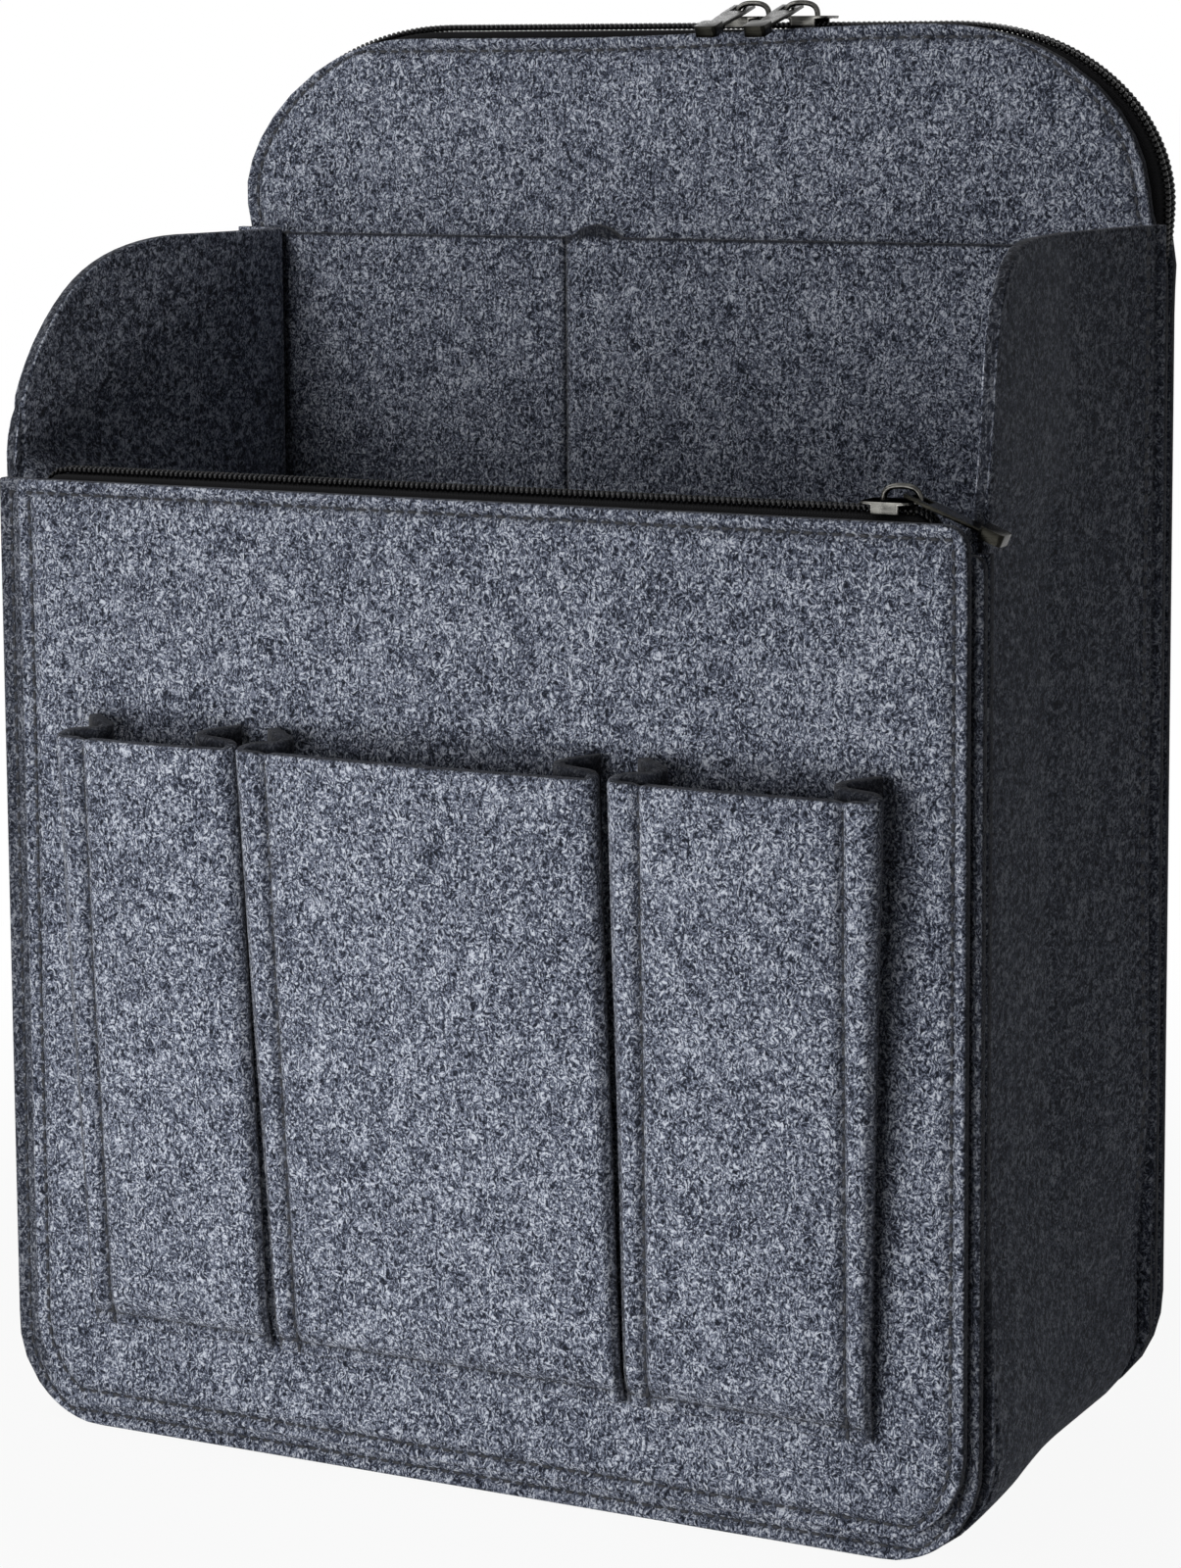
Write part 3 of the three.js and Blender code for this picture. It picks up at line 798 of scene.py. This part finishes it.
back_rows = panel_rows(BACK, back_wall_edges, lambda x, z: BACK.middle - zip_lean(z, BACK.top))
felt_panel("back_wall", lifted(back_rows, arch_lift), FRONT)


def outer_depth(x, z):
    """The outer back panel's middle, which leans out towards its zip, later at its sewn sides."""
    side = smooth((abs(x) - (OUTER.right - SIDE_BAND)) / SIDE_BAND)
    start, end = (mix(middle, sewn, side) for middle, sewn in zip(LEAN, SIDE_LEAN))
    return mix(OUTER.front + FELT / 2, OUTER.back - FELT / 2, eased(z, start, end))


outer_rows = panel_rows(OUTER, outer_edges, outer_depth)
felt_panel("back_outer_panel", outer_rows, REAR)


# Flat pocket panel inside, against the back wall, with a seam that divides it
def divider_groove(x):
    """How near a place is to the divider's seam, from 0 to 1."""
    return math.exp(-((x - DIVIDER_X) / DIVIDER_WIDTH) ** 2)


def inner_depth(x, z):
    """The inner panel's middle, drawn in along the divider."""
    return INNER.middle + DIVIDER_DEPTH * divider_groove(x)


def tuck_rise(x, z):
    """How far the mouth's small tuck beside the divider stands up."""
    across = max(0, 1 - ((x - TUCK_X[1]) / TUCK_HALF) ** 2)
    return TUCK_RISE * across * smooth((z - INNER.top + TUCK_FALL) / TUCK_FALL)


def inner_shade(x, z):
    """Painted shade on the inner panel: along the divider's seam, and a painted shadow at the mouth's
    edge and over the tuck that stands above it.
    """
    return max(divider_groove(x), 1 if z > INNER.top - MOUTH_LINE else 0)


inner_edges = rounded_edges(INNER, INNER_CORNER, INNER_TOP_CORNERS)
inner_rows = lifted(panel_rows(INNER, inner_edges, inner_depth, (DIVIDER_X, *TUCK_X)), tuck_rise)
inner_panel = felt_panel("inner_pocket_panel", inner_rows, FRONT, True)
shade(inner_panel, inner_shade)
divider_levels = graded(INNER.bottom + DIVIDER_ENDS[0], INNER.top - DIVIDER_ENDS[1])
sew([(DIVIDER_X, inner_depth(DIVIDER_X, z), z) for z in divider_levels], FRONT, FELT / 2)


# Bent strip of both side walls and the base, its long edges turned out to be sewn
STRIP_WALL = STRIP.right - FLANGE - FELT / 2
STRIP_BASE = FLANGE + FELT / 2
STRIP_CORNER = CORNER - FLANGE - FELT / 2
STRIP_REACH = FLANGE + FELT / 2
STRIP_CENTRE = STRIP_WALL - STRIP_CORNER
STRIP_ARC = STRIP_CORNER * math.pi / 2
STRIP_SPRING = STRIP_BASE + STRIP_CORNER
BEND_ARC = STRIP_BEND * math.pi / 2
LIP = STRIP_REACH - STRIP_BEND
STRIP_FRONT = STRIP.front + FELT / 2
STRIP_BACK = STRIP.back - FELT / 2
STRIP_RUN = STRIP_BACK - STRIP_FRONT - 2 * STRIP_BEND
STRIP_WIDTH = 2 * (LIP + BEND_ARC) + STRIP_RUN


def strip_profile(t):
    """How far out of the wall the strip lies, and how deep, at a distance across it."""
    back = t > STRIP_WIDTH / 2
    near = STRIP_WIDTH - t if back else t
    if near <= LIP:
        out, depth = STRIP_REACH - near, 0
    elif near <= LIP + BEND_ARC:
        turn = (near - LIP) / STRIP_BEND
        out, depth = STRIP_BEND * (1 - math.sin(turn)), STRIP_BEND * (1 - math.cos(turn))
    else:
        out, depth = 0, STRIP_BEND + near - LIP - BEND_ARC
    return out, STRIP_BACK - depth if back else STRIP_FRONT + depth


def strip_top(t, side):
    """The height of a side wall's free edge at a distance across the strip."""
    low = WALL.top + EDGE_LOW[side]
    high = STRIP.top + EDGE_LIFT[side]
    share = clamped((EDGE_END[side] - t) / (EDGE_END[side] - EDGE_START[side]))
    return mix(low, high, (1 - share ** EDGE_POWER[side]) ** (1 / EDGE_POWER[side]))


def straight_depth(near):
    """How deep a place lies behind an edge of the strip that isn't turned out."""
    return near - (LIP + BEND_ARC - STRIP_BEND) * smooth(near / STRAIGHT_JOIN)


def foot_reach(t, out):
    """How far out of the wall the strip's foot lies, drawn in behind the front seam."""
    reach = mix(STRIP_REACH, FOOT_FAR, smooth(t / FOOT_RUN))
    return max(out, reach) if t > STRIP_WIDTH / 2 else reach


def strip_point(t, girth):
    """A point of the strip: t across it, girth along it from the base's middle to the right."""
    out, y = strip_profile(t)
    back = t > STRIP_WIDTH / 2
    straight = y if back else STRIP_FRONT + straight_depth(t)
    foot = foot_reach(t, out)
    low = foot if back else min(foot, FOOT_LOW)
    side = math.copysign(1, girth)
    run = abs(girth)
    if run <= STRIP_CENTRE:
        return girth, straight, STRIP_BASE - low
    if run <= STRIP_CENTRE + STRIP_ARC:
        turn = (run - STRIP_CENTRE) / STRIP_CORNER
        radius = STRIP_CORNER + mix(low, foot, turn / (math.pi / 2))
        if back:
            radius -= REAR_DRAW * out / STRIP_REACH * math.sin(2 * turn)
        x = side * (STRIP_CENTRE + radius * math.sin(turn))
        return x, straight, STRIP_SPRING - radius * math.cos(turn)
    band = EDGE_LINES[-1]
    top = strip_top(t, side)
    level = run - STRIP_CENTRE - STRIP_ARC
    full = STRIP.top - STRIP_SPRING
    if full - level < band:
        z = top - (full - level)
    else:
        z = mix(STRIP_SPRING, top - band, level / (full - band))
    bow = WALL_BOW[side] * eased(z, *BOW_UP)
    bow *= (1 - out / STRIP_REACH) * eased(y, *BOW_BACK)
    above = smooth((z - WALL.top) / FLARE_RISE)
    below = 1 - smooth((z - STRIP_SPRING) / FOOT_FADE)
    if back and side > 0:
        out = mix(STRIP_REACH * max(0, 1 - (STRIP_WIDTH - t) / REAR_RUN), out, below)
        y = mix(STRIP_BACK - straight_depth(STRIP_WIDTH - t), y, below)
    flare = FLARE_REACH[side] * max(0, 1 - t / FLARE_RUN)
    out = mix(out, max(out, flare) if back else flare, above)
    if not back:
        y = mix(y, straight, max(above, below))
    return side * (STRIP_WALL + mix(out, foot, below) - bow), y, z


def strip_girths():
    """Stations along the strip, close on its corners and at its free edges."""
    half = [STRIP_CENTRE * i / BASE_STEPS for i in range(1, BASE_STEPS)]
    half += [STRIP_CENTRE + STRIP_ARC * i / CORNER_STEPS for i in range(CORNER_STEPS + 1)]
    spring = STRIP_CENTRE + STRIP_ARC
    half += [g for g in graded(spring, spring + STRIP.top - STRIP_SPRING) if g > spring + STRIP_STEP]
    return [-g for g in reversed(half)] + [0] + half


strip_lines = graded(0, STRIP_WIDTH, STRIP_STEP)
extra = [LIP + BEND_ARC * i / BEND_STEPS for i in range(2, BEND_STEPS + 1)]
strip_lines = sorted(strip_lines + extra + [STRIP_WIDTH - t for t in extra] + [EDGE_START[1]])
strip_rows = [[strip_point(t, g) for t in strip_lines] for g in strip_girths()]
strip_fullness = sewn_fullness(len(strip_rows[0]), len(strip_rows), (False, False))
strip = cut_sheet("gusset_felt", strip_rows, strip_fullness, FELT)
fit_out(strip, felt_material)
streaked = strip.data.attributes.new("streaked", "FLOAT", "POINT")
for item in streaked.data:
    item.value = STREAK_LEVEL
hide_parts("gusset")
sewn_from = STRIP_CENTRE + STRIP_ARC + REAR_STITCH_START
rear_line = [strip_point(STRIP_WIDTH - REAR_STITCH, g) for g in strip_girths() if g > sewn_from]
sew(rear_line, (1, 0, 0), FELT / 2)


# Pockets on the front panel
def pocket_height(box, z):
    """How far a pocket's front stands out at a height: least at its hem, most at its mouth."""
    share = (z - box.bottom) / (box.top - box.bottom)
    open_height = mix(POCKET_FOOT, PANEL.front - box.front, share)
    hem = FELT + HEM_GAP
    return hem + (open_height - hem) * smooth((z - box.bottom) / POCKET_FLAT)


def fold_points(front, squeeze):
    """Half a pocket's section from its seam to its front: place in from the edge, and height."""
    layer = FOLD_LAYER * squeeze
    second = max(front - layer, FELT / 2)
    third = max(second - layer, FELT / 2)
    round_layer = FOLD_LAYER / 2
    points = [(FOLD_SEAM, FELT / 2), (mix(FOLD_SEAM, FOLD_DEPTH, 0.5), mix(FELT / 2, third, 0.5))]
    for turn in (0, 45, 90, 135, 180):
        swing = math.radians(turn)
        points.append((FOLD_DEPTH + round_layer * math.sin(swing),
                       mix(third, second, (1 - math.cos(swing)) / 2)))
    points.append((mix(FOLD_DEPTH, round_layer, 0.5), second))
    for turn in (0, 30, 60, 90, 120, 150):
        swing = math.radians(turn)
        points.append((round_layer * (1 - math.sin(swing)),
                       mix(second, front, (1 - math.cos(swing)) / 2)))
    return points


def welt(inset, width, sewn, line):
    """How far topstitching on a line draws in a place on a pocket's front, from 0 to 1."""
    near = (inset if sewn < 0 else width - inset) - line
    return math.exp(-(near / WELT_LINE) ** 2)


FOLD_COUNT = len(fold_points(FELT, 1))
FOLD_RISES = [FOLD_RISE * (1 - i / (FOLD_COUNT - 1)) for i in range(FOLD_COUNT)]


def pocket_section(box, z, topstitched, tapers):
    """A pocket's points at one height, from seam to seam, and how full the felt is there."""
    share = (z - box.bottom) / (box.top - box.bottom)
    height = pocket_height(box, z)
    front = height - FELT / 2
    squeeze = (height - FELT) / (PANEL.front - box.front - FELT)
    fold = fold_points(front, squeeze)
    coarse = max(2, round((box.right - box.left - 2 * FRONT_INSETS[-1]) / COARSE))
    left = box.left + mix(*tapers[0], share)
    width = box.right + mix(*tapers[1], share) - left
    draw = mix(STITCH_DRAW, 1, share)
    insets = [inset * draw for inset in FRONT_INSETS]
    inner = [mix(insets[-1], width - insets[-1], i / coarse) for i in range(1, coarse)]
    across = insets + inner + [width - inset for inset in reversed(insets)]
    pleat = list(zip(fold, FOLD_RISES))
    section = [(inset, height, rise) for (inset, height), rise in pleat]
    line = FOLD_STITCH * draw
    pulled = [max(welt(inset, width, sewn, line) for sewn in topstitched) for inset in across]
    for inset, pull in zip(across, pulled):
        bulge = POCKET_BULGE * math.sin(math.pi * inset / width) * smooth(share)
        section.append((inset, front + bulge - WELT_SINK * pull * squeeze, -WELT_DIP * pull))
    section += [(width - inset, height, rise) for (inset, height), rise in reversed(pleat)]
    points = []
    for inset, height, rise in section:
        x = left + inset
        points.append((x, PANEL.front - height + ripple(x, z), z + rise * share * share))
    pinched = [max(SQUEEZED, squeeze)] * FOLD_COUNT
    face = [1 - (1 - WELT_FULL) * pull for pull in pulled]
    return points, pinched + face + pinched


for side, box in POCKETS.items():
    topstitched = TOPSTITCHED[side]
    sections = [pocket_section(box, z, topstitched, TAPERS[side]) for z in graded(box.bottom, box.top)]
    rows = [points for points, full in sections]
    fullness = []
    for j, (_, full) in enumerate(sections):
        share = edge_full(min(j, len(rows) - 1 - j)) * SEAM_PINCH.get(j, 1)
        fullness.append([share * value for value in full])
    pocket = cut_sheet("pocket_" + side + "_felt", rows, fullness, FELT)
    fit_out(pocket, felt_material)
    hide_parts("pocket_" + side)
    above = FELT / 2 * WELT_FULL
    stitch = FOLD_COUNT + FRONT_INSETS.index(FOLD_STITCH)
    for sewn in topstitched:
        column = stitch if sewn < 0 else -1 - stitch
        sew([row[column] for row in rows[STITCHED_FROM:]], FRONT, above)
    # Painted shade deep in each side fold, darkening the gaps between the pockets
    depth = pocket.data.attributes["recess"].data
    columns = len(rows[0])
    for index in range(len(depth)):
        column = index % columns
        inside = FOLD_COUNT - min(column, columns - 1 - column)
        depth[index].value = max(depth[index].value, clamped(FOLD_SHADE * (inside - 1)))
    sew(rows[SEAM_LINE][FOLD_COUNT:-FOLD_COUNT], FRONT, above)


# Zips
def front_chain():
    """Stations of the front zip: place on the felt's edge, way out of it, width. Both ends dip."""
    low = FRONT_COILS[0].left - FRONT_PAST[0]
    high = FRONT_COILS[0].right + FRONT_PAST[1]
    count = round((high - low) / CHAIN_STEP)
    stations = []
    for i in range(count + 1):
        x = mix(low, high, i / count)
        past = max(FRONT_DIP_PLACES[0] - x, x - FRONT_DIP_PLACES[1], 0) / FRONT_DIP_RUN
        edge = PANEL.top - FRONT_DIP * past * past
        stations.append((Vector((x, 0, edge)), Vector((0, 0, 1)), 1))
    return stations


def opened(z):
    """How wide the back zip is at a height, from 0 where it is tucked in to 1."""
    return smooth((z - ZIP_FOOT + TUCK_SINK) / TUCK_RUN)


def back_chain():
    """Stations of the back zip round the arch, narrower where it tucks in."""
    half = BACK.right - ARCH_STEP
    flat = half - ARCH_RUN
    rise = BACK.top - ARCH_SPRING
    right = []
    for i in range(LEG_STEPS):
        z = mix(ZIP_FOOT - BACK_SINK, ARCH_SPRING, i / LEG_STEPS)
        right.append((Vector((half, 0, z)), Vector((1, 0, 0)), opened(z)))
    for i in range(ARC_STEPS + 1):
        turn = math.pi / 2 * i / ARC_STEPS
        point = Vector((flat + ARCH_RUN * math.cos(turn), 0, ARCH_SPRING + rise * math.sin(turn)))
        out = Vector((math.cos(turn) / ARCH_RUN, 0, math.sin(turn) / rise)).normalized()
        right.append((point, out, opened(point.z)))
    places = [mix(-flat, flat, i / TOP_STEPS) for i in range(1, TOP_STEPS)]
    top = [(Vector((x, 0, BACK.top)), Vector((0, 0, 1)), 1) for x in places]
    mirrored = [(Vector((-p.x, 0, p.z)), Vector((-n.x, 0, n.z)), open_) for p, n, open_ in right]
    swollen = []
    for point, out, open_ in right:
        swell = BACK_SWELL * eased(point.x, *BACK_SWELL_RUN)
        swollen.append((point + out * swell * open_, out, open_))
    return mirrored + top + swollen[::-1]


def even_stations(stations, pitch):
    """The same chain with stations a pitch apart, each with its direction."""
    placed = []
    for leg, share in marks([station[0] for station in stations], pitch):
        (p, n, w), (q, m, v) = stations[leg:leg + 2]
        out = n.lerp(m, share).normalized()
        placed.append((p.lerp(q, share), out, mix(w, v, share), (q - p) / (q - p).length))
    return placed


def tape_rows(stations, centre, side, foot, top):
    """Rows of a tape half: flat beside its slit, folded down behind its felt to its foot."""
    leg = TAPE_LEG + TAPE_SLANT * (TAPE_HALF - foot)
    section = [(across, top) for across in TAPE_FLAT]
    section += [(across, top - drop) for across, drop in TAPE_FOLD]
    section += [(TAPE_HALF, TAPE_DROP), (foot, TAPE_HEM - leg), (foot, -leg)]
    rows = []
    for point, out, width in stations:
        row = []
        for across, level in section:
            spot = point + out * level
            row.append((spot.x, centre + side * across * mix(TUCKED, 1, width), spot.z))
        rows.append(row)
    return rows


def copies(name, shape, placements):
    """One mesh of copies of a small shape, placed in layout millimetres."""
    points = np.array([vertex.co for vertex in shape.data.vertices])
    faces = [list(polygon.vertices) for polygon in shape.data.polygons]
    placed = []
    listed = []
    for index, matrix in enumerate(placements):
        turn = np.array(matrix.to_3x3())
        placed.append(points @ turn.T + np.array(matrix.translation))
        listed += [[vertex + index * len(points) for vertex in face] for face in faces]
    spots = np.concatenate(placed) * MM + LAYOUT_CORNER
    mesh = bpy.data.meshes.new(name)
    mesh.from_pydata(spots.tolist(), [], listed)
    mesh.shade_smooth()
    return new_object(name, mesh)


def axes(first, second, third, spot):
    """A placement from three axes and a spot."""
    turn = Matrix((first, second, third)).transposed()
    return Matrix.Translation(spot) @ turn.to_4x4()


deselect()
bpy.ops.mesh.primitive_torus_add(major_segments=9, minor_segments=5,
                                 major_radius=1, minor_radius=COIL_WIRE)
coil_turn = bpy.context.object


def zip_half(zip_name, half, stations, coil, centre, foot):
    """One half of a zip, tape and coil turns, in place of their CAD nodes."""
    side = HALF_SIDES[half]
    tape_name = zip_name + "_zip_tape_" + half
    rows = tape_rows(stations, centre, side, foot, TAPE_LEVELS[zip_name])
    tape = cut_sheet(tape_name + "_weave", rows, [[1] * len(rows[0]) for _ in rows], TAPE)
    fit_out(tape, tape_material)
    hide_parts(tape_name)
    length = sum((q[0] - p[0]).length for p, q in zip(stations, stations[1:]))
    coil_name = zip_name + "_zip_coil_" + half
    near = min(abs(coil.front - centre), abs(coil.back - centre))
    across = side * (near + (coil.back - coil.front) / 2)
    wide = (coil.back - coil.front) / 2 / (1 + COIL_WIRE)
    high = COIL_HEIGHT / 2 / (1 + COIL_WIRE)
    level = TAPE_LEVELS[zip_name] + TAPE / 2 + COIL_HEIGHT / 2
    turns = []
    for point, out, width, along in even_stations(stations, COIL_PITCH):
        spot = point + out * level + Vector((0, centre + across * mix(TUCKED, 1, width), 0))
        slant = along * COIL_SLANT * side
        turns.append(axes(Vector((0, wide, 0)) + slant, out * high, along, spot))
    coil_piece = copies(coil_name + "_turns", coil_turn, turns)
    fit_out(coil_piece, coil_material)
    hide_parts(coil_name)
    return tape, coil_piece


front_centre = (FRONT_COILS[0].front + FRONT_COILS[1].back) / 2
back_centre = (BACK_COILS[0].front + BACK_COILS[1].back) / 2
front_stations = front_chain()
back_stations = back_chain()
front_halves = (("front", FRONT_COILS[0], TAPE_HALF, "front_zip_panel"),
                ("rear", FRONT_COILS[1], REAR_TAPE_FOOT, "front_wall"))
for half, coil, foot, sewn_to in front_halves:
    anchor = at(0, front_centre + HALF_SIDES[half] * TAPE_HALF, WALL.top)
    for piece in zip_half("front", half, front_stations, coil, front_centre, foot):
        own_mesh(piece)
back_halves = (("front", BACK_COILS[0], "back_wall"), ("rear", BACK_COILS[1], "back_outer_panel"))
for half, coil, sewn_to in back_halves:
    zip_half("back", half, back_stations, coil, back_centre, TAPE_HALF)
bpy.data.objects.remove(coil_turn)


# Sliders and pulls: the CAD solids with their edges rounded, each slider with a bridge of round wire
def wire_bridge(node):
    """A slider's bridge: round wire bent over from its tail to its tongue."""
    box = span(node)
    level = box.top * MM - WIRE / 4 * MM
    crown = [vertex.co.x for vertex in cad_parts[node].data.vertices if vertex.co.z > level]
    middle = ((min(crown) + max(crown)) / 2 - CENTRE_X) / MM
    foot = box.top - BRIDGE_HEIGHT - WIRE_SINK
    reach = BRIDGE_HALF - WIRE / 2
    rise = BRIDGE_HEIGHT + WIRE_SINK - WIRE / 2
    curve = bpy.data.curves.new(node + "_wire", "CURVE")
    curve.dimensions = "3D"
    curve.bevel_depth = WIRE / 2 * MM
    curve.bevel_resolution = 3
    curve.use_fill_caps = True
    path = curve.splines.new("POLY")
    path.points.add(WIRE_STEPS)
    for i, point in enumerate(path.points):
        turn = math.pi * i / WIRE_STEPS
        lean = math.copysign(abs(math.cos(turn)) ** WIRE_SPREAD, math.cos(turn))
        lift = max(0, math.sin(turn)) ** WIRE_LIFT
        point.co = (*at(middle + reach * lean, box.middle, foot + rise * lift), 1)
    select(new_object(node + "_wire", curve))
    bpy.ops.object.convert(target="MESH")
    bpy.ops.object.shade_smooth()
    return bpy.context.object


def rounded_metal(node, width, bridge=False):
    """A CAD node's solid with its edges rounded, a slider's with a new bridge."""
    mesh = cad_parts[node].data.copy()
    piece = new_object(node + "_metal", mesh)
    select(piece)
    bpy.ops.object.mode_set(mode="EDIT")
    bpy.ops.mesh.select_all(action="SELECT")
    bpy.ops.mesh.remove_doubles(threshold=MERGE)
    bpy.ops.mesh.dissolve_limited(angle_limit=FLAT_ANGLE)
    if bridge:
        bpy.ops.mesh.select_all(action="SELECT")
        level = at(0, 0, span(node).top - BRIDGE_HEIGHT + BRIDGE_CUT)
        bpy.ops.mesh.bisect(plane_co=level, plane_no=(0, 0, 1), use_fill=True, clear_outer=True)
    bpy.ops.object.mode_set(mode="OBJECT")
    round_ = piece.modifiers.new("rounded_worn_highlit_edges", "BEVEL")
    round_.width = width * MM
    round_.segments = 2
    round_.limit_method = "ANGLE"
    round_.angle_limit = BEVEL_ANGLE
    mesh.materials.clear()
    for material in (slider_material, pull_material):
        mesh.materials.append(material)
    round_.material = 1
    bpy.ops.object.modifier_apply(modifier=round_.name)
    # The bevel's faces get the bright edge tone: partly rubbed plating, partly a painted highlight
    worn = mesh.attributes.new("worn", "FLOAT", "FACE")
    for polygon in mesh.polygons:
        worn.data[polygon.index].value = polygon.material_index
        polygon.material_index = 0
    bpy.ops.object.shade_smooth_by_angle(angle=SMOOTH_ANGLE)
    if bridge:
        wire = wire_bridge(node)
        select(piece)
        wire.select_set(True)
        bpy.ops.object.join()
    fit_out(piece, slider_material if bridge else pull_material, node)
    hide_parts(node)


for zip_place in ("front", "back_left", "back_right"):
    rounded_metal(zip_place + "_slider", EDGE_WEAR, True)
    rounded_metal(zip_place + "_pull", PULL_WEAR)


# Stitches: each one a short bar with its ends drawn in
deselect()
length = STITCH_LENGTH * STITCH_BODY
bpy.ops.mesh.primitive_cylinder_add(vertices=STITCH_SIDES, radius=STITCH_RADIUS, depth=length)
stitch = bpy.context.object
bpy.ops.object.mode_set(mode="EDIT")
bpy.ops.mesh.select_all(action="DESELECT")
bpy.ops.object.mode_set(mode="OBJECT")
for polygon in stitch.data.polygons:
    polygon.select = abs(polygon.normal.z) > CAP_FACING
bpy.ops.object.mode_set(mode="EDIT")
bpy.ops.mesh.inset(thickness=STITCH_RADIUS * STITCH_TIP, depth=STITCH_LENGTH * STITCH_END,
                   use_individual=True)
bpy.ops.object.mode_set(mode="OBJECT")
placements = []
for spot, along, facing in threads:
    side = facing.cross(along).normalized()
    placements.append(axes(side, along.cross(side), along, spot))
thread = copies("seam_thread", stitch, placements)
fit_out(thread, thread_material)
bpy.data.objects.remove(stitch)


# Floor, light and camera
def floor_finish():
    """A pale matt floor that the camera sees nearly white, and white away from the object."""
    floor = Finish("pale_floor")
    away = floor.vector("LENGTH", {0: floor.place()}, "Value")
    inputs = {"Value": away, "From Min": FLOOR_FADE[0], "From Max": FLOOR_FADE[1],
              "To Min": FLOOR_LEVEL, "To Max": 1.0}
    fade = floor.node("ShaderNodeMapRange", {"interpolation_type": "SMOOTHSTEP"}, inputs)
    matt = floor.node("ShaderNodeBsdfDiffuse", None, {"Color": FLOOR_COLOUR})
    glow = floor.node("ShaderNodeEmission", None, {"Color": WHITE, "Strength": 1.0})
    return floor.end(floor.node("ShaderNodeMixShader", None, {0: floor.seen() * fade, 1: matt, 2: glow}))


deselect()
bpy.ops.mesh.primitive_plane_add(size=FLOOR_SIZE)
floor = bpy.context.object
floor.name = "floor"
floor.data.materials.append(floor_finish())

sky = Finish("studio", "worlds")
bpy.context.scene.world = sky.owner
strength = sky.node("ShaderNodeMapRange", None, {"Value": sky.seen(), "To Min": SKY_LEVEL, "To Max": 1.0})
sky_glow = sky.node("ShaderNodeBackground", None, {"Color": WHITE, "Strength": strength})
sky.end(sky_glow, "ShaderNodeOutputWorld")

for name, (spot, aim, width, height, power) in LAMPS.items():
    lamp = bpy.data.lights.new(name, "AREA")
    lamp.shape = "RECTANGLE"
    lamp.size = width
    lamp.size_y = height
    lamp.energy = power
    softbox = new_object(name, lamp)
    softbox.location = spot
    softbox.rotation_euler = (Vector(aim) - Vector(spot)).to_track_quat("-Z", "Y").to_euler()

right = Vector((math.cos(CAMERA_YAW), math.sin(CAMERA_YAW), 0))
ahead = Vector((-math.sin(CAMERA_YAW), math.cos(CAMERA_YAW), 0))
upright = Vector((0, 0, 1))
look = ahead * math.cos(CAMERA_PITCH) - upright * math.sin(CAMERA_PITCH)
up = upright * math.cos(CAMERA_PITCH) + ahead * math.sin(CAMERA_PITCH)
rolled_right = right * math.cos(CAMERA_ROLL) + up * math.sin(CAMERA_ROLL)
rolled_up = up * math.cos(CAMERA_ROLL) - right * math.sin(CAMERA_ROLL)
lens = bpy.data.cameras.new("photo_view")
lens.lens = CAMERA_LENS
lens.shift_y = CAMERA_SHIFT
camera = new_object("photo_view", lens)
camera.matrix_world = axes(rolled_right, rolled_up, -look, at(*CAMERA_SPOT))
bpy.context.scene.camera = camera
bpy.context.scene.view_settings.view_transform = "Standard"
